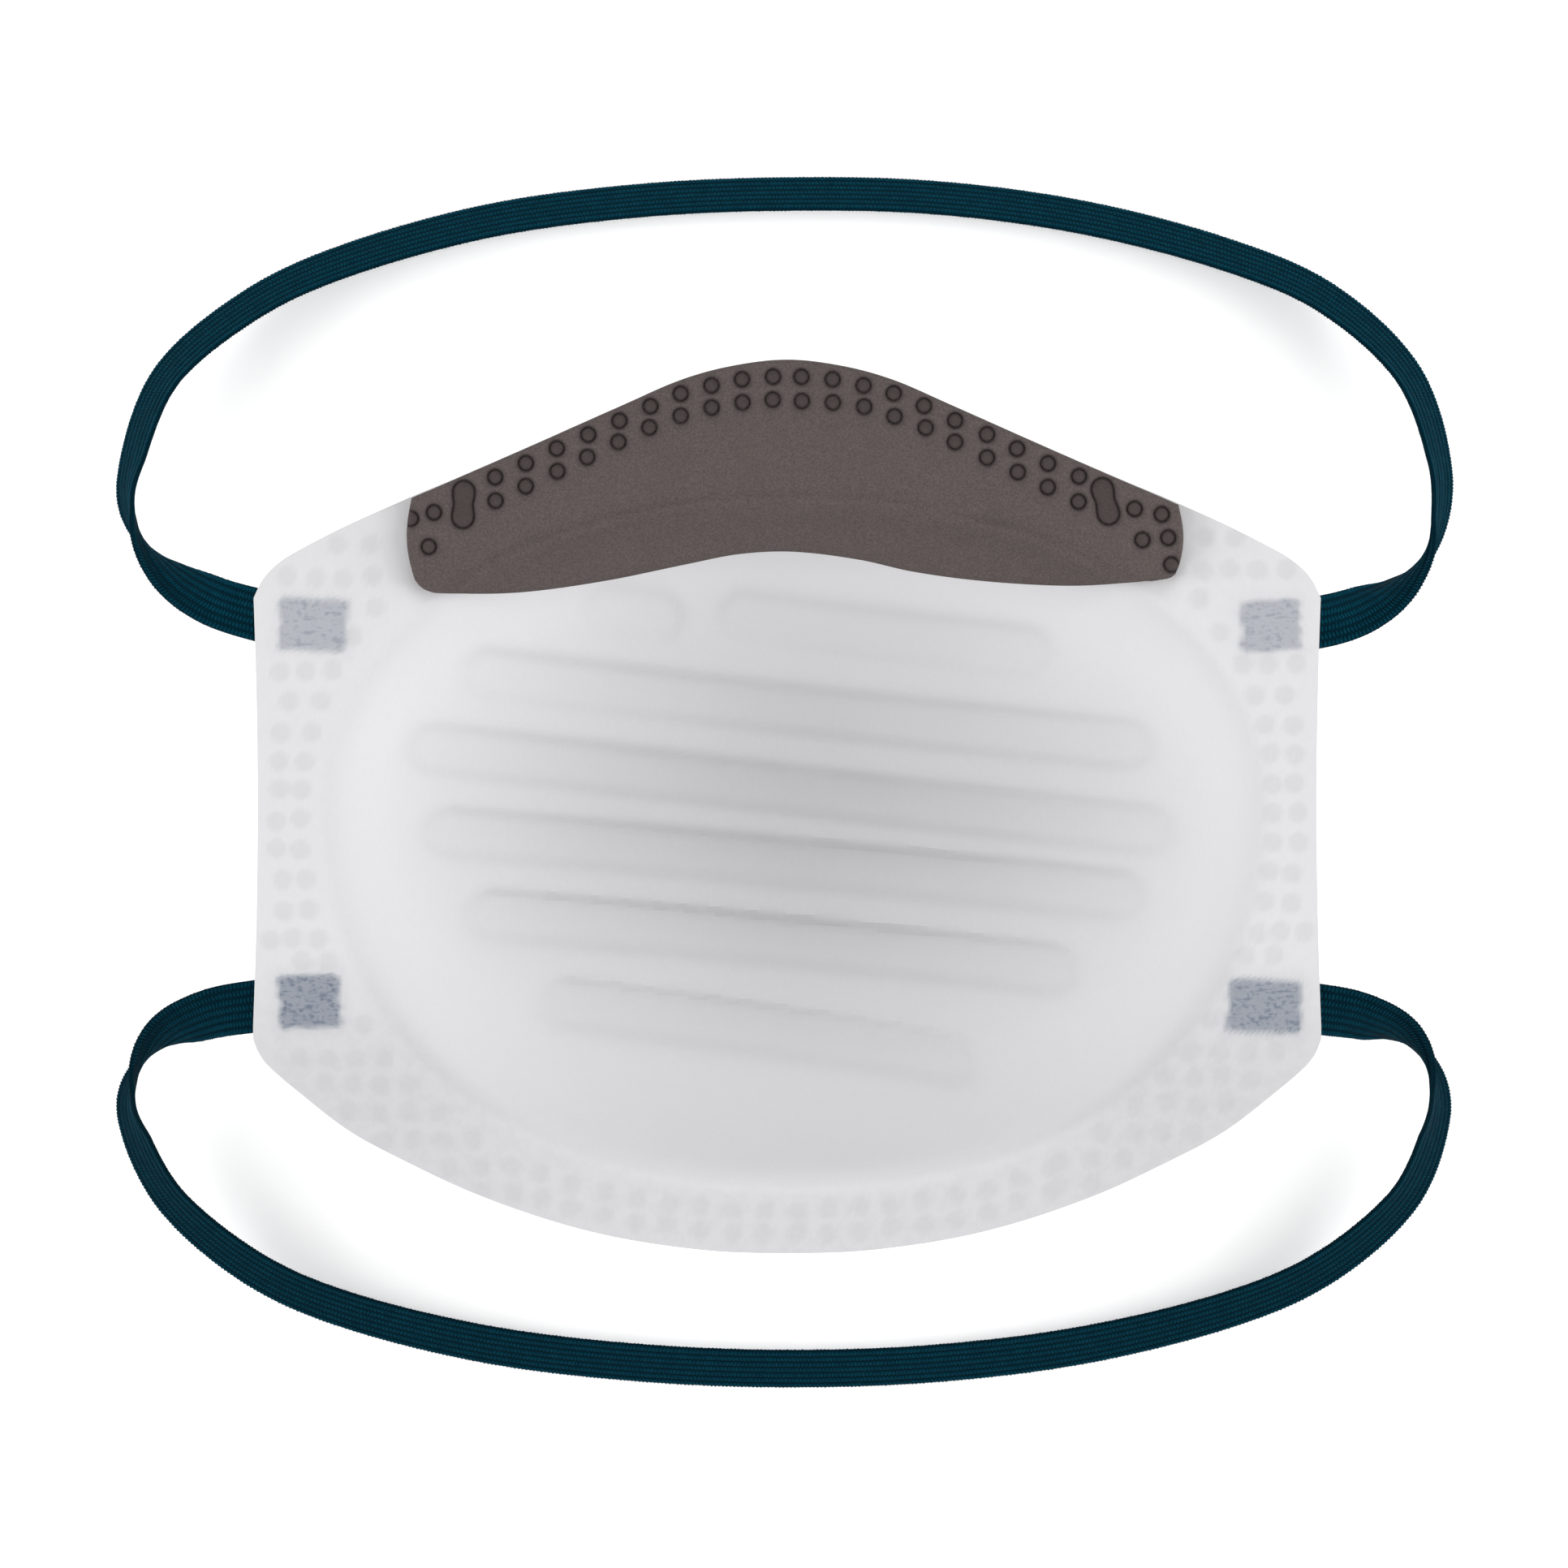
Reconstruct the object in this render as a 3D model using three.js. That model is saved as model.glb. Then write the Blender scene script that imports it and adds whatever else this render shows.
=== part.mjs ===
// Moulded cup respirator, lying on the front of its dome with the face side up.
// Millimetres, +Z up towards the face, +Y towards the nose, +X towards the right of someone who looks in.
// Every piece is worked out from one height field of the cup's face side, the mask's outline and two strap routes.
import * as THREE from 'three';

// ---- driving dimensions ----
const CHEEK_HEIGHT = 45; // face side of the flange at the cheeks, above the surface that the dome rests on
const CHEEK_FLAT_HALF = 20; // the flange is flat this far above and below mid-height
const NOSE_CHIN_DROP = 5; // how much lower the flange lies at the nose and the chin
const NOSE_CHIN_REACH = 37; // from the end of the flat cheek to the nose
const CUP_FLOOR = 2.6; // face side of the cup's deepest land
const CUP_WALL = 1.8;
const FLANGE_WALL = 1.3;
const CUP_CENTRE_X = 0.95;
const CUP_HALF_WIDTH = 58.4;
const CUP_TO_NOSE = 38.5;
const CUP_TO_CHIN = 48.8;
const NOSE_ROUNDNESS = 2.1; // powers of the superellipse that is the cup's edge
const CHIN_ROUNDNESS = 2.2;
const BOWL_POWER = 2.8; // flat in the middle, steep at the edge
const SHOULDER = 4; // how softly the cup turns into the flange
const RIB_HALF_WIDTH = 4.2;
const RIB_SOFT_EDGE = 1.4; // the floor of a channel is flat inside this edge
const RIB_ROW_STEP = 2.8; // mesh rows beside each rib's middle
const RIB_SLOPE = -0.11;
const SEAT_GAP = 0.35; // between a piece and the shell that it is fixed to

const FOAM_THICKNESS = 2.8;
const FOAM_DROOP = 34; // how fast the foam's free edge falls towards the middle of the cup
const FOAM_FROM_EDGE = 0.3;
const CLIP = { halfLength: 44, width: 5, thickness: 0.9, fromEdge: 4 };
const STRAP = { width: 6.8, thickness: 0.9, stepsPerRow: 3 };

// Half of the outline from the middle to the side. x: across, nose: the upper edge, chin: the lower edge.
const OUTLINE_NOSE = [
  { x: 0, y: 57 }, { x: 7, y: 56.2 }, { x: 13.5, y: 54.4 }, { x: 21, y: 51.1 }, { x: 33, y: 45.7 },
  { x: 43, y: 41.3 }, { x: 48, y: 39.2 }, { x: 56, y: 35.6 }, { x: 62, y: 32.5 }, { x: 64.4, y: 31 },
  { x: 66.5, y: 28.9 }, { x: 67.8, y: 26.4 },
];
const OUTLINE_CHIN = [
  { x: 0, y: -57.1 }, { x: 11.5, y: -56.6 }, { x: 25, y: -54.3 }, { x: 38.5, y: -49.9 }, { x: 50, y: -44.5 },
  { x: 56, y: -41.1 }, { x: 62, y: -36.4 }, { x: 65.9, y: -33 }, { x: 67.2, y: -31.2 }, { x: 67.8, y: -29.6 },
];
const SIDE_BOW = 0.6; // the sides are this much hollow between their corners
const SIDE_HALF_HEIGHT = 28;

// Rib channels pressed into the cup: the two ends of each one's middle line, and how deep it is.
const RIBS = [
  { x0: -22, y0: 25.1, x1: -16, y1: 24.4, depth: 0.6 },
  { x0: -9.8, y0: 25, x1: 35, y1: 19.2, depth: 1.4 },
  { x0: -42.7, y0: 17.1, x1: 48.1, y1: 7.1, depth: 1.4 },
  { x0: -49.7, y0: 7.4, x1: 50.6, y1: -4, depth: 1.4 },
  { x0: -47.9, y0: -3.5, x1: 47, y1: -12.4, depth: 1.4 },
  { x0: -42.6, y0: -14.3, x1: 38.6, y1: -22.2, depth: 1.4 },
  { x0: -33.2, y0: -25.7, x1: 25.7, y1: -33.9, depth: 1.3 },
];
const CHANNEL_END = RIB_HALF_WIDTH; // the tables give the channels' tips, past the round ends' centres

// The foam's free edge in the cup, from the left to the right.
const FOAM_FREE_EDGE = [
  { x: -47.6, y: 31.1 }, { x: -46.6, y: 28.7 }, { x: -44.3, y: 27.2 }, { x: -39, y: 27 }, { x: -33.4, y: 27.2 },
  { x: -23.1, y: 28.7 }, { x: -12.9, y: 30.8 }, { x: -6.1, y: 32.1 }, { x: 0.8, y: 32.4 }, { x: 9.2, y: 31.4 },
  { x: 16, y: 29.9 }, { x: 24.6, y: 28.7 }, { x: 34.8, y: 28 }, { x: 42.3, y: 28.2 }, { x: 48.2, y: 29 },
  { x: 49.6, y: 30.4 },
];

// Strap routes from the left weld to the right one. roll: degrees that the band is turned about its own line;
// past 90 the side that lies against the flange at the weld has turned over.
const UPPER_ROUTE = [
  { x: -55.9, y: 23, z: 42.75, roll: 0 }, { x: -62.1, y: 23.3, z: 42.75, roll: 0 },
  { x: -67.7, y: 24.4, z: 42.3, roll: 5 }, { x: -74, y: 26.5, z: 39, roll: 20 },
  { x: -79.7, y: 30.2, z: 33.5, roll: 52 }, { x: -84.3, y: 36, z: 27, roll: 101 },
  { x: -85.6, y: 43.6, z: 20, roll: 121 }, { x: -81.7, y: 56.4, z: 11.5, roll: 128 },
  { x: -71.2, y: 66.1, z: 6, roll: 131 }, { x: -58.6, y: 72.3, z: 3.2, roll: 132 },
  { x: -39.8, y: 77.6, z: 2.5, roll: 133 }, { x: -19.9, y: 80.3, z: 2.5, roll: 133 },
  { x: 0, y: 81.2, z: 2.5, roll: 133 }, { x: 19.9, y: 80.7, z: 2.5, roll: 133 },
  { x: 39.8, y: 78, z: 2.5, roll: 133 }, { x: 58.6, y: 73, z: 3.2, roll: 132 },
  { x: 71.6, y: 67, z: 6, roll: 131 }, { x: 81.6, y: 56.9, z: 11.5, roll: 127 },
  { x: 85.1, y: 44.1, z: 20, roll: 120 }, { x: 83.6, y: 34.6, z: 27, roll: 106 },
  { x: 79.2, y: 28.8, z: 33.5, roll: 63 }, { x: 73.6, y: 25.2, z: 39, roll: 23 },
  { x: 67.7, y: 23.4, z: 42.3, roll: 5 }, { x: 62.1, y: 23, z: 42.75, roll: 0 },
  { x: 56.3, y: 22.9, z: 42.75, roll: 0 },
];
const LOWER_ROUTE = [
  { x: -55.9, y: -24.7, z: 42.75, roll: 0 }, { x: -62.1, y: -24.9, z: 42.75, roll: 0 },
  { x: -67.7, y: -25.5, z: 42.3, roll: -4 }, { x: -74, y: -26.7, z: 39, roll: -18 },
  { x: -80, y: -29.5, z: 33.5, roll: -48 }, { x: -84.3, y: -34.9, z: 27, roll: -102 },
  { x: -85.3, y: -41.6, z: 20, roll: -124 }, { x: -81, y: -52, z: 11.5, roll: -131 },
  { x: -70.9, y: -61.2, z: 6, roll: -136 }, { x: -58.6, y: -67, z: 3.2, roll: -138 },
  { x: -39.8, y: -71.7, z: 2.4, roll: -140 }, { x: -19.9, y: -74.1, z: 2.4, roll: -140 },
  { x: 0, y: -74.9, z: 2.4, roll: -140 }, { x: 19.9, y: -74.2, z: 2.4, roll: -140 },
  { x: 39.8, y: -71.7, z: 2.4, roll: -140 }, { x: 58.6, y: -67, z: 3.2, roll: -138 },
  { x: 71.2, y: -61.2, z: 6, roll: -136 }, { x: 81, y: -52, z: 11.5, roll: -132 },
  { x: 84.5, y: -41.6, z: 20, roll: -125 }, { x: 83.4, y: -34.6, z: 27, roll: -108 },
  { x: 79.2, y: -29.5, z: 33.5, roll: -58 }, { x: 73.5, y: -27, z: 39, roll: -26 },
  { x: 67.7, y: -25.9, z: 42.3, roll: -12 }, { x: 62.1, y: -25.5, z: 42.75, roll: -3 },
  { x: 56.3, y: -25.4, z: 42.75, roll: 0 },
];

// Mesh fineness.
const MIDDLE_COLUMNS = 40;
const MIDDLE_HALF = 62; // the middle columns reach this far out
const CORNER_COLUMNS = [64.4, 66.4, 67.8];
const NOSE_ROWS = 7;
const CHIN_ROWS = 6;
const CHIN_EDGE_ROW = 3; // this row below the ribs follows the cup's edge
const STRAIGHT_ROWS_TO = 50; // rows follow the ribs out to here, then even out towards the sides

// ---- small maths ----
const clamp01 = (t) => Math.min(1, Math.max(0, t));
const smooth = (from, to, v) => {
  const t = clamp01((v - from) / (to - from));
  return t * t * (3 - 2 * t);
};
const mix = (a, b, t) => a + (b - a) * t;

/** Smooth smaller value; exactly the smaller one where they differ by more than soft. */
function softMin(a, b, soft) {
  const near = Math.max(soft - Math.abs(a - b), 0);
  return Math.min(a, b) - (near * near) / (4 * soft);
}

/** A smooth curve y(x) through rows sorted by x (Hermite, slopes from the neighbours). */
function curveThrough(rows, x) {
  let i = 0;
  while (i < rows.length - 2 && x > rows[i + 1].x) i += 1;
  const slopeAt = (k) => {
    const before = rows[Math.max(k - 1, 0)];
    const after = rows[Math.min(k + 1, rows.length - 1)];
    return (after.y - before.y) / (after.x - before.x);
  };
  const span = rows[i + 1].x - rows[i].x;
  const t = clamp01((x - rows[i].x) / span);
  const t2 = t * t;
  const t3 = t2 * t;
  return (2 * t3 - 3 * t2 + 1) * rows[i].y + (t3 - 2 * t2 + t) * span * slopeAt(i)
    + (3 * t2 - 2 * t3) * rows[i + 1].y + (t3 - t2) * span * slopeAt(i + 1);
}

// ---- the shell's surfaces ----
const noseEdge = (x) => curveThrough(OUTLINE_NOSE, Math.abs(x));
const chinEdge = (x) => curveThrough(OUTLINE_CHIN, Math.abs(x));

/** 0 in the middle of the cup, 1 on its edge. */
function cupRadius(x, y) {
  const power = y > 0 ? NOSE_ROUNDNESS : CHIN_ROUNDNESS;
  const across = Math.abs(x - CUP_CENTRE_X) / CUP_HALF_WIDTH;
  const along = Math.abs(y) / (y > 0 ? CUP_TO_NOSE : CUP_TO_CHIN);
  return (across ** power + along ** power) ** (1 / power);
}

function flangeHeight(y) {
  const past = Math.max(0, Math.abs(y) - CHEEK_FLAT_HALF) / NOSE_CHIN_REACH;
  return CHEEK_HEIGHT - NOSE_CHIN_DROP * past * past;
}

/** How far the rib channels push the wall down at a point. */
function ribDepth(x, y) {
  let deepest = 0;
  for (const rib of RIBS) {
    const length = Math.hypot(rib.x1 - rib.x0, rib.y1 - rib.y0);
    const ux = (rib.x1 - rib.x0) / length;
    const uy = (rib.y1 - rib.y0) / length;
    const along = (x - rib.x0) * ux + (y - rib.y0) * uy;
    const end = Math.min(CHANNEL_END, length / 2);
    const nearest = Math.min(length - end, Math.max(end, along));
    const away = Math.hypot(x - rib.x0 - ux * nearest, y - rib.y0 - uy * nearest);
    deepest = Math.max(deepest, rib.depth * (1 - smooth(RIB_HALF_WIDTH - RIB_SOFT_EDGE, RIB_HALF_WIDTH, away)));
  }
  return deepest;
}

/** Height of the face side. */
function faceSide(x, y) {
  const bowl = CUP_FLOOR + (CHEEK_HEIGHT - CUP_FLOOR) * cupRadius(x, y) ** BOWL_POWER - ribDepth(x, y);
  return softMin(bowl, flangeHeight(y), SHOULDER);
}

const wallAt = (x, y) => mix(CUP_WALL, FLANGE_WALL, smooth(0.95, 1.06, cupRadius(x, y)));

/** Upward normal of a height field. */
function normalOf(height, x, y) {
  const step = 0.05;
  const dx = (height(x + step, y) - height(x - step, y)) / (2 * step);
  const dy = (height(x, y + step) - height(x, y - step)) / (2 * step);
  return new THREE.Vector3(-dx, -dy, 1).normalize();
}

/** A point that far above the height field, along its normal. */
function pointOff(height, x, y, distance) {
  return new THREE.Vector3(x, y, height(x, y)).addScaledVector(normalOf(height, x, y), distance);
}

/** The outer side of the wall; the dome's front is flattened where it rests. */
function outerPoint(x, y) {
  const p = pointOff(faceSide, x, y, -wallAt(x, y));
  p.z = Math.max(p.z, 0);
  return p;
}

// ---- meshes ----
/** A closed sheet between two grids of points of the same size; upper[i][j] lies above lower[i][j]. */
function sheetBetween(upper, lower) {
  const columns = upper.length;
  const rows = upper[0].length;
  const count = columns * rows;
  const positions = [];
  for (const grid of [upper, lower]) {
    for (const column of grid) {
      for (const p of column) positions.push(p.x, p.y, p.z);
    }
  }
  const at = (i, j) => i * rows + j;
  const index = [];
  const quad = (a, b, c, d) => index.push(a, b, c, a, c, d);
  for (let i = 0; i < columns - 1; i += 1) {
    for (let j = 0; j < rows - 1; j += 1) {
      const ring = [at(i, j), at(i + 1, j), at(i + 1, j + 1), at(i, j + 1)];
      const rising = upper[i][j].distanceTo(upper[i + 1][j + 1]);
      const falling = upper[i + 1][j].distanceTo(upper[i][j + 1]);
      if (falling < rising) ring.push(ring.shift()); // each cell is split along its shorter diagonal
      const [a, b, c, d] = ring;
      quad(a, b, c, d);
      index.push(count + c, count + b, count + a, count + d, count + c, count + a);
    }
  }
  const rim = [];
  for (let i = 0; i < columns - 1; i += 1) rim.push([at(i, 0), at(i + 1, 0)]);
  for (let j = 0; j < rows - 1; j += 1) rim.push([at(columns - 1, j), at(columns - 1, j + 1)]);
  for (let i = columns - 1; i > 0; i -= 1) rim.push([at(i, rows - 1), at(i - 1, rows - 1)]);
  for (let j = rows - 1; j > 0; j -= 1) rim.push([at(0, j), at(0, j - 1)]);
  for (const [a, b] of rim) quad(b, a, count + a, count + b);
  const geometry = new THREE.BufferGeometry();
  geometry.setAttribute('position', new THREE.Float32BufferAttribute(positions, 3));
  geometry.setIndex(index);
  geometry.computeVertexNormals();
  return geometry;
}

function namedMesh(name, geometry, color, roughness, metalness) {
  const mesh = new THREE.Mesh(geometry, new THREE.MeshStandardMaterial({ color, roughness, metalness }));
  mesh.name = name;
  return mesh;
}

/** Where the rib-following rows cross the middle column, from the chin to the nose. */
function ribRows() {
  const long = RIBS.slice(1).reverse();
  const middles = long.map((rib) => (rib.y0 + rib.y1) / 2 - (RIB_SLOPE * (rib.x0 + rib.x1)) / 2);
  const rows = [middles[0] - 2 * RIB_ROW_STEP];
  middles.forEach((middle, k) => {
    rows.push(middle - RIB_ROW_STEP, middle, middle + RIB_ROW_STEP);
    const next = middles[k + 1];
    rows.push(next === undefined ? middle + 2 * RIB_ROW_STEP : (middle + next) / 2);
  });
  return rows;
}

/** Plan points of the shell's mesh, as columns of rows. */
function shellPlan() {
  const across = [];
  for (let i = 0; i <= MIDDLE_COLUMNS; i += 1) across.push(mix(-MIDDLE_HALF, MIDDLE_HALF, i / MIDDLE_COLUMNS));
  for (const x of CORNER_COLUMNS) {
    across.push(x);
    across.unshift(-x);
  }
  const middleRows = ribRows();
  const total = middleRows.length + NOSE_ROWS + CHIN_ROWS;
  const side = CORNER_COLUMNS[CORNER_COLUMNS.length - 1];
  return across.map((x) => {
    const chin = chinEdge(x);
    const nose = noseEdge(x);
    const evenOut = smooth(STRAIGHT_ROWS_TO, side, Math.abs(x));
    const lowest = middleRows[0] + RIB_SLOPE * x;
    const inEllipse = 1 - Math.min(1, Math.abs(x - CUP_CENTRE_X) / CUP_HALF_WIDTH) ** CHIN_ROUNDNESS;
    const cupEdge = Math.min(-CUP_TO_CHIN * inEllipse ** (1 / CHIN_ROUNDNESS), mix(chin, lowest, 0.5));
    const highest = middleRows[middleRows.length - 1] + RIB_SLOPE * x;
    const column = [];
    for (let j = 0; j < total; j += 1) {
      let y;
      if (j < CHIN_EDGE_ROW) y = mix(chin, cupEdge, j / CHIN_EDGE_ROW);
      else if (j < CHIN_ROWS) y = mix(cupEdge, lowest, (j - CHIN_EDGE_ROW) / (CHIN_ROWS - CHIN_EDGE_ROW));
      else if (j < CHIN_ROWS + middleRows.length) y = middleRows[j - CHIN_ROWS] + RIB_SLOPE * x;
      else y = mix(highest, nose, (j - CHIN_ROWS - middleRows.length + 1) / NOSE_ROWS);
      y = mix(y, mix(chin, nose, j / (total - 1)), evenOut);
      const bow = SIDE_BOW * (1 - clamp01(Math.abs(y) / SIDE_HALF_HEIGHT) ** 2);
      column.push({ x: x * (1 - bow / side), y });
    }
    return column;
  });
}

function filterShell() {
  const plan = shellPlan();
  const face = plan.map((column) => column.map(({ x, y }) => new THREE.Vector3(x, y, faceSide(x, y))));
  const outside = plan.map((column) => column.map(({ x, y }) => outerPoint(x, y)));
  return namedMesh('filter_shell', sheetBetween(face, outside), 0xe8e8ea, 0.95, 0);
}

/** What the foam lies on: the flange, then a gentle fall over the cup's edge, clear of the steep wall below it. */
function foamBed(x, y) {
  const inside = Math.max(0, 1 - cupRadius(x, y));
  return Math.max(faceSide(x, y), flangeHeight(y) - FOAM_DROOP * inside);
}

function noseFoam() {
  const columns = 40;
  const rows = 9;
  const left = FOAM_FREE_EDGE[0].x;
  const right = FOAM_FREE_EDGE[FOAM_FREE_EDGE.length - 1].x;
  const upper = [];
  const lower = [];
  for (let i = 0; i <= columns; i += 1) {
    const x = mix(left, right, 0.5 - 0.5 * Math.cos((Math.PI * (i + 0.6)) / (columns + 1.2)));
    const free = curveThrough(FOAM_FREE_EDGE, x);
    const edge = noseEdge(x) - FOAM_FROM_EDGE;
    upper.push([]);
    lower.push([]);
    for (let j = 0; j <= rows; j += 1) {
      const y = mix(free, edge, j / rows);
      lower[i].push(pointOff(foamBed, x, y, SEAT_GAP));
      upper[i].push(pointOff(foamBed, x, y, SEAT_GAP + FOAM_THICKNESS));
    }
  }
  return namedMesh('nose_foam', sheetBetween(upper, lower), 0x5f5755, 0.98, 0);
}

/** The metal strip follows the nose edge on the outer side of the flange. */
function noseClip() {
  const columns = 32;
  const rows = 2;
  const under = (x, y) => flangeHeight(y) - FLANGE_WALL;
  const upper = [];
  const lower = [];
  for (let i = 0; i <= columns; i += 1) {
    const x = mix(-CLIP.halfLength, CLIP.halfLength, i / columns);
    const lean = Math.atan2(noseEdge(x + 1) - noseEdge(x - 1), 2);
    upper.push([]);
    lower.push([]);
    for (let j = 0; j <= rows; j += 1) {
      const inward = CLIP.fromEdge + CLIP.width * (0.5 - j / rows);
      const px = x + Math.sin(lean) * inward;
      const py = noseEdge(x) - Math.cos(lean) * inward;
      upper[i].push(pointOff(under, px, py, -SEAT_GAP));
      lower[i].push(pointOff(under, px, py, -SEAT_GAP - CLIP.thickness));
    }
  }
  return namedMesh('nose_clip', sheetBetween(upper, lower), 0xb8bbc0, 0.35, 1);
}

/** One point of a route, t running from 0 to the number of rows less one (Catmull-Rom). */
function routeAt(route, t) {
  const last = route.length - 1;
  const i = Math.min(Math.floor(t), last - 1);
  const f = t - i;
  const rows = [i - 1, i, i + 1, i + 2].map((k) => route[Math.min(last, Math.max(0, k))]);
  const blend = (key) => {
    const [a, b, c, d] = rows.map((row) => row[key]);
    return 0.5 * (2 * b + (c - a) * f + (2 * a - 5 * b + 4 * c - d) * f * f + (3 * b - a - 3 * c + d) * f * f * f);
  };
  return { place: new THREE.Vector3(blend('x'), blend('y'), blend('z')), roll: THREE.MathUtils.degToRad(blend('roll')) };
}

/** A flat band swept along its route, turned by its roll, with square ends. */
function strap(name, route) {
  const steps = (route.length - 1) * STRAP.stepsPerRow;
  const up = new THREE.Vector3(0, 0, 1);
  const positions = [];
  const index = [];
  for (let k = 0; k <= steps; k += 1) {
    const t = k / STRAP.stepsPerRow;
    const { place, roll } = routeAt(route, t);
    const before = routeAt(route, Math.max(0, t - 0.1)).place;
    const after = routeAt(route, Math.min(route.length - 1, t + 0.1)).place;
    const forward = after.sub(before).normalize();
    const left = new THREE.Vector3().crossVectors(up, forward).normalize();
    const lifted = new THREE.Vector3().crossVectors(forward, left);
    const across = left.clone().multiplyScalar(Math.cos(roll)).addScaledVector(lifted, Math.sin(roll));
    const through = new THREE.Vector3().crossVectors(forward, across);
    for (const [w, h] of [[1, 1], [-1, 1], [-1, -1], [1, -1]]) {
      const corner = place.clone().addScaledVector(across, (w * STRAP.width) / 2)
        .addScaledVector(through, (h * STRAP.thickness) / 2);
      positions.push(corner.x, corner.y, Math.max(corner.z, 0));
    }
  }
  const quad = (a, b, c, d) => index.push(a, b, c, a, c, d);
  for (let k = 0; k < steps; k += 1) {
    for (let c = 0; c < 4; c += 1) {
      const d = (c + 1) % 4;
      quad(4 * k + c, 4 * k + d, 4 * k + 4 + d, 4 * k + 4 + c);
    }
  }
  quad(3, 2, 1, 0);
  const end = 4 * steps;
  quad(end, end + 1, end + 2, end + 3);
  const geometry = new THREE.BufferGeometry();
  geometry.setAttribute('position', new THREE.Float32BufferAttribute(positions, 3));
  geometry.setIndex(index);
  geometry.computeVertexNormals();
  return namedMesh(name, geometry, 0x0b3a4a, 0.8, 0);
}

// ---- the mask, its box centred over the origin and standing on it ----
const group = new THREE.Group();
group.add(filterShell(), noseFoam(), noseClip(), strap('upper_strap', UPPER_ROUTE), strap('lower_strap', LOWER_ROUTE));
const box = new THREE.Box3().setFromObject(group);
group.position.set(-(box.min.x + box.max.x) / 2, -(box.min.y + box.max.y) / 2, -box.min.z);

export default group;
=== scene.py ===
"""Moulded cup respirator lying on the front of its dome, face side up.

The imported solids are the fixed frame. Each piece is built again here as a fine mesh in the same place:
the ribbed filter shell with its weld dots, the nose foam with its pressed dots, the nose clip and the two
knitted head straps. Sizes are in millimetres in the maker's own frame (+X right, +Y nose, +Z face), which
Placement turns into the row's metres.
"""

from __future__ import annotations

import logging
import math
from dataclasses import dataclass
from enum import Enum
from typing import Callable, Iterator, Sequence

import bpy
import numpy as np
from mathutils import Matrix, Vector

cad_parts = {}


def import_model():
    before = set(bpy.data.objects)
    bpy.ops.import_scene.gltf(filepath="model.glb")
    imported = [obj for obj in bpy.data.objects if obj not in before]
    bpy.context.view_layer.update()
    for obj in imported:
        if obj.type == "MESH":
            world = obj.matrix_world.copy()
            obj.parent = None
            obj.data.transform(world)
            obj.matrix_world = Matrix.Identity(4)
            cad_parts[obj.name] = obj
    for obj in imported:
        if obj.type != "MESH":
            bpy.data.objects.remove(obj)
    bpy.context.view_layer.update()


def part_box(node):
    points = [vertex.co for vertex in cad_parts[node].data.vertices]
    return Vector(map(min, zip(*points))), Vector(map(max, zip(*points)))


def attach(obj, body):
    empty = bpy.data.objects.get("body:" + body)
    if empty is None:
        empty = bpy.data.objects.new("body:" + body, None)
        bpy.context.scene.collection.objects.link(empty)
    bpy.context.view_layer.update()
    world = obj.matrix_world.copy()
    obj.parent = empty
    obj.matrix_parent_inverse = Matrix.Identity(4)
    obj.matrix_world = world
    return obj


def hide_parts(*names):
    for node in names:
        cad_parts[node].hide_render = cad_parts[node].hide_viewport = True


LOG = logging.getLogger("respirator")
MM = 0.001
SEED = 41
Array = np.ndarray
Row = tuple[float, ...]
LOWER_STRAP_SHADE = 0.78  # painted shade: the lower strap's colours at this share of the upper one's


# ---------------------------------------------------------------- small maths


def smooth(start: float, end: float, value: Array) -> Array:
    """Smooth step of value from start to end."""
    t = np.clip((value - start) / (end - start), 0.0, 1.0)
    return t * t * (3.0 - 2.0 * t)


def soft_min(a: Array, b: Array, soft: float) -> Array:
    """Smooth smaller value of a and b, exact where they differ by more than soft."""
    near = np.maximum(soft - np.abs(a - b), 0.0)
    return np.minimum(a, b) - near * near / (4.0 * soft)


def curve_through(rows: Sequence[Row], x: Array) -> Array:
    """Smooth curve y(x) through rows of (x, y) sorted by x.

    Args:
        rows: The points that the curve passes.
        x: Where it is wanted.

    Returns:
        The curve's y at each x.
    """
    px, py = np.array(rows, float).T
    slope = np.empty_like(py)
    slope[1:-1] = (py[2:] - py[:-2]) / (px[2:] - px[:-2])
    slope[0] = (py[1] - py[0]) / (px[1] - px[0])
    slope[-1] = (py[-1] - py[-2]) / (px[-1] - px[-2])
    i = np.clip(np.searchsorted(px, x) - 1, 0, len(px) - 2)
    span = px[i + 1] - px[i]
    t = np.clip((x - px[i]) / span, 0.0, 1.0)
    rise = (3 - 2 * t) * t * t
    leave = t * (1 - t) ** 2
    arrive = t * t * (t - 1)
    return py[i] + (py[i + 1] - py[i]) * rise + span * (slope[i] * leave + slope[i + 1] * arrive)


def nearest_gap(x: Array, y: Array, centres: Array) -> Array:
    """Distance from each point to the nearest of the centres.

    Args:
        x: The points' x.
        y: The points' y.
        centres: Rows of x, y.

    Returns:
        One distance for each point.
    """
    best = np.full(x.shape, 1e9)
    for cx, cy in centres:
        best = np.minimum(best, np.hypot(x - cx, y - cy))
    return best


def ripple(x: Array, y: Array, wave: float, seed: int) -> Array:
    """Soft unevenness between -1 and 1, made of a few sine waves.

    Args:
        x: The points' x.
        y: The points' y.
        wave: Typical wave length in millimetres.
        seed: Which pattern.

    Returns:
        One value for each point.
    """
    rng = np.random.default_rng(seed)
    total = np.zeros(np.shape(x))
    for _ in range(6):
        angle, phase = rng.uniform(0, 2 * math.pi, 2)
        turn = 2 * math.pi / (wave * rng.uniform(0.7, 1.6))
        total += np.sin((x * math.cos(angle) + y * math.sin(angle)) * turn + phase)
    return total / 6.0


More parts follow.
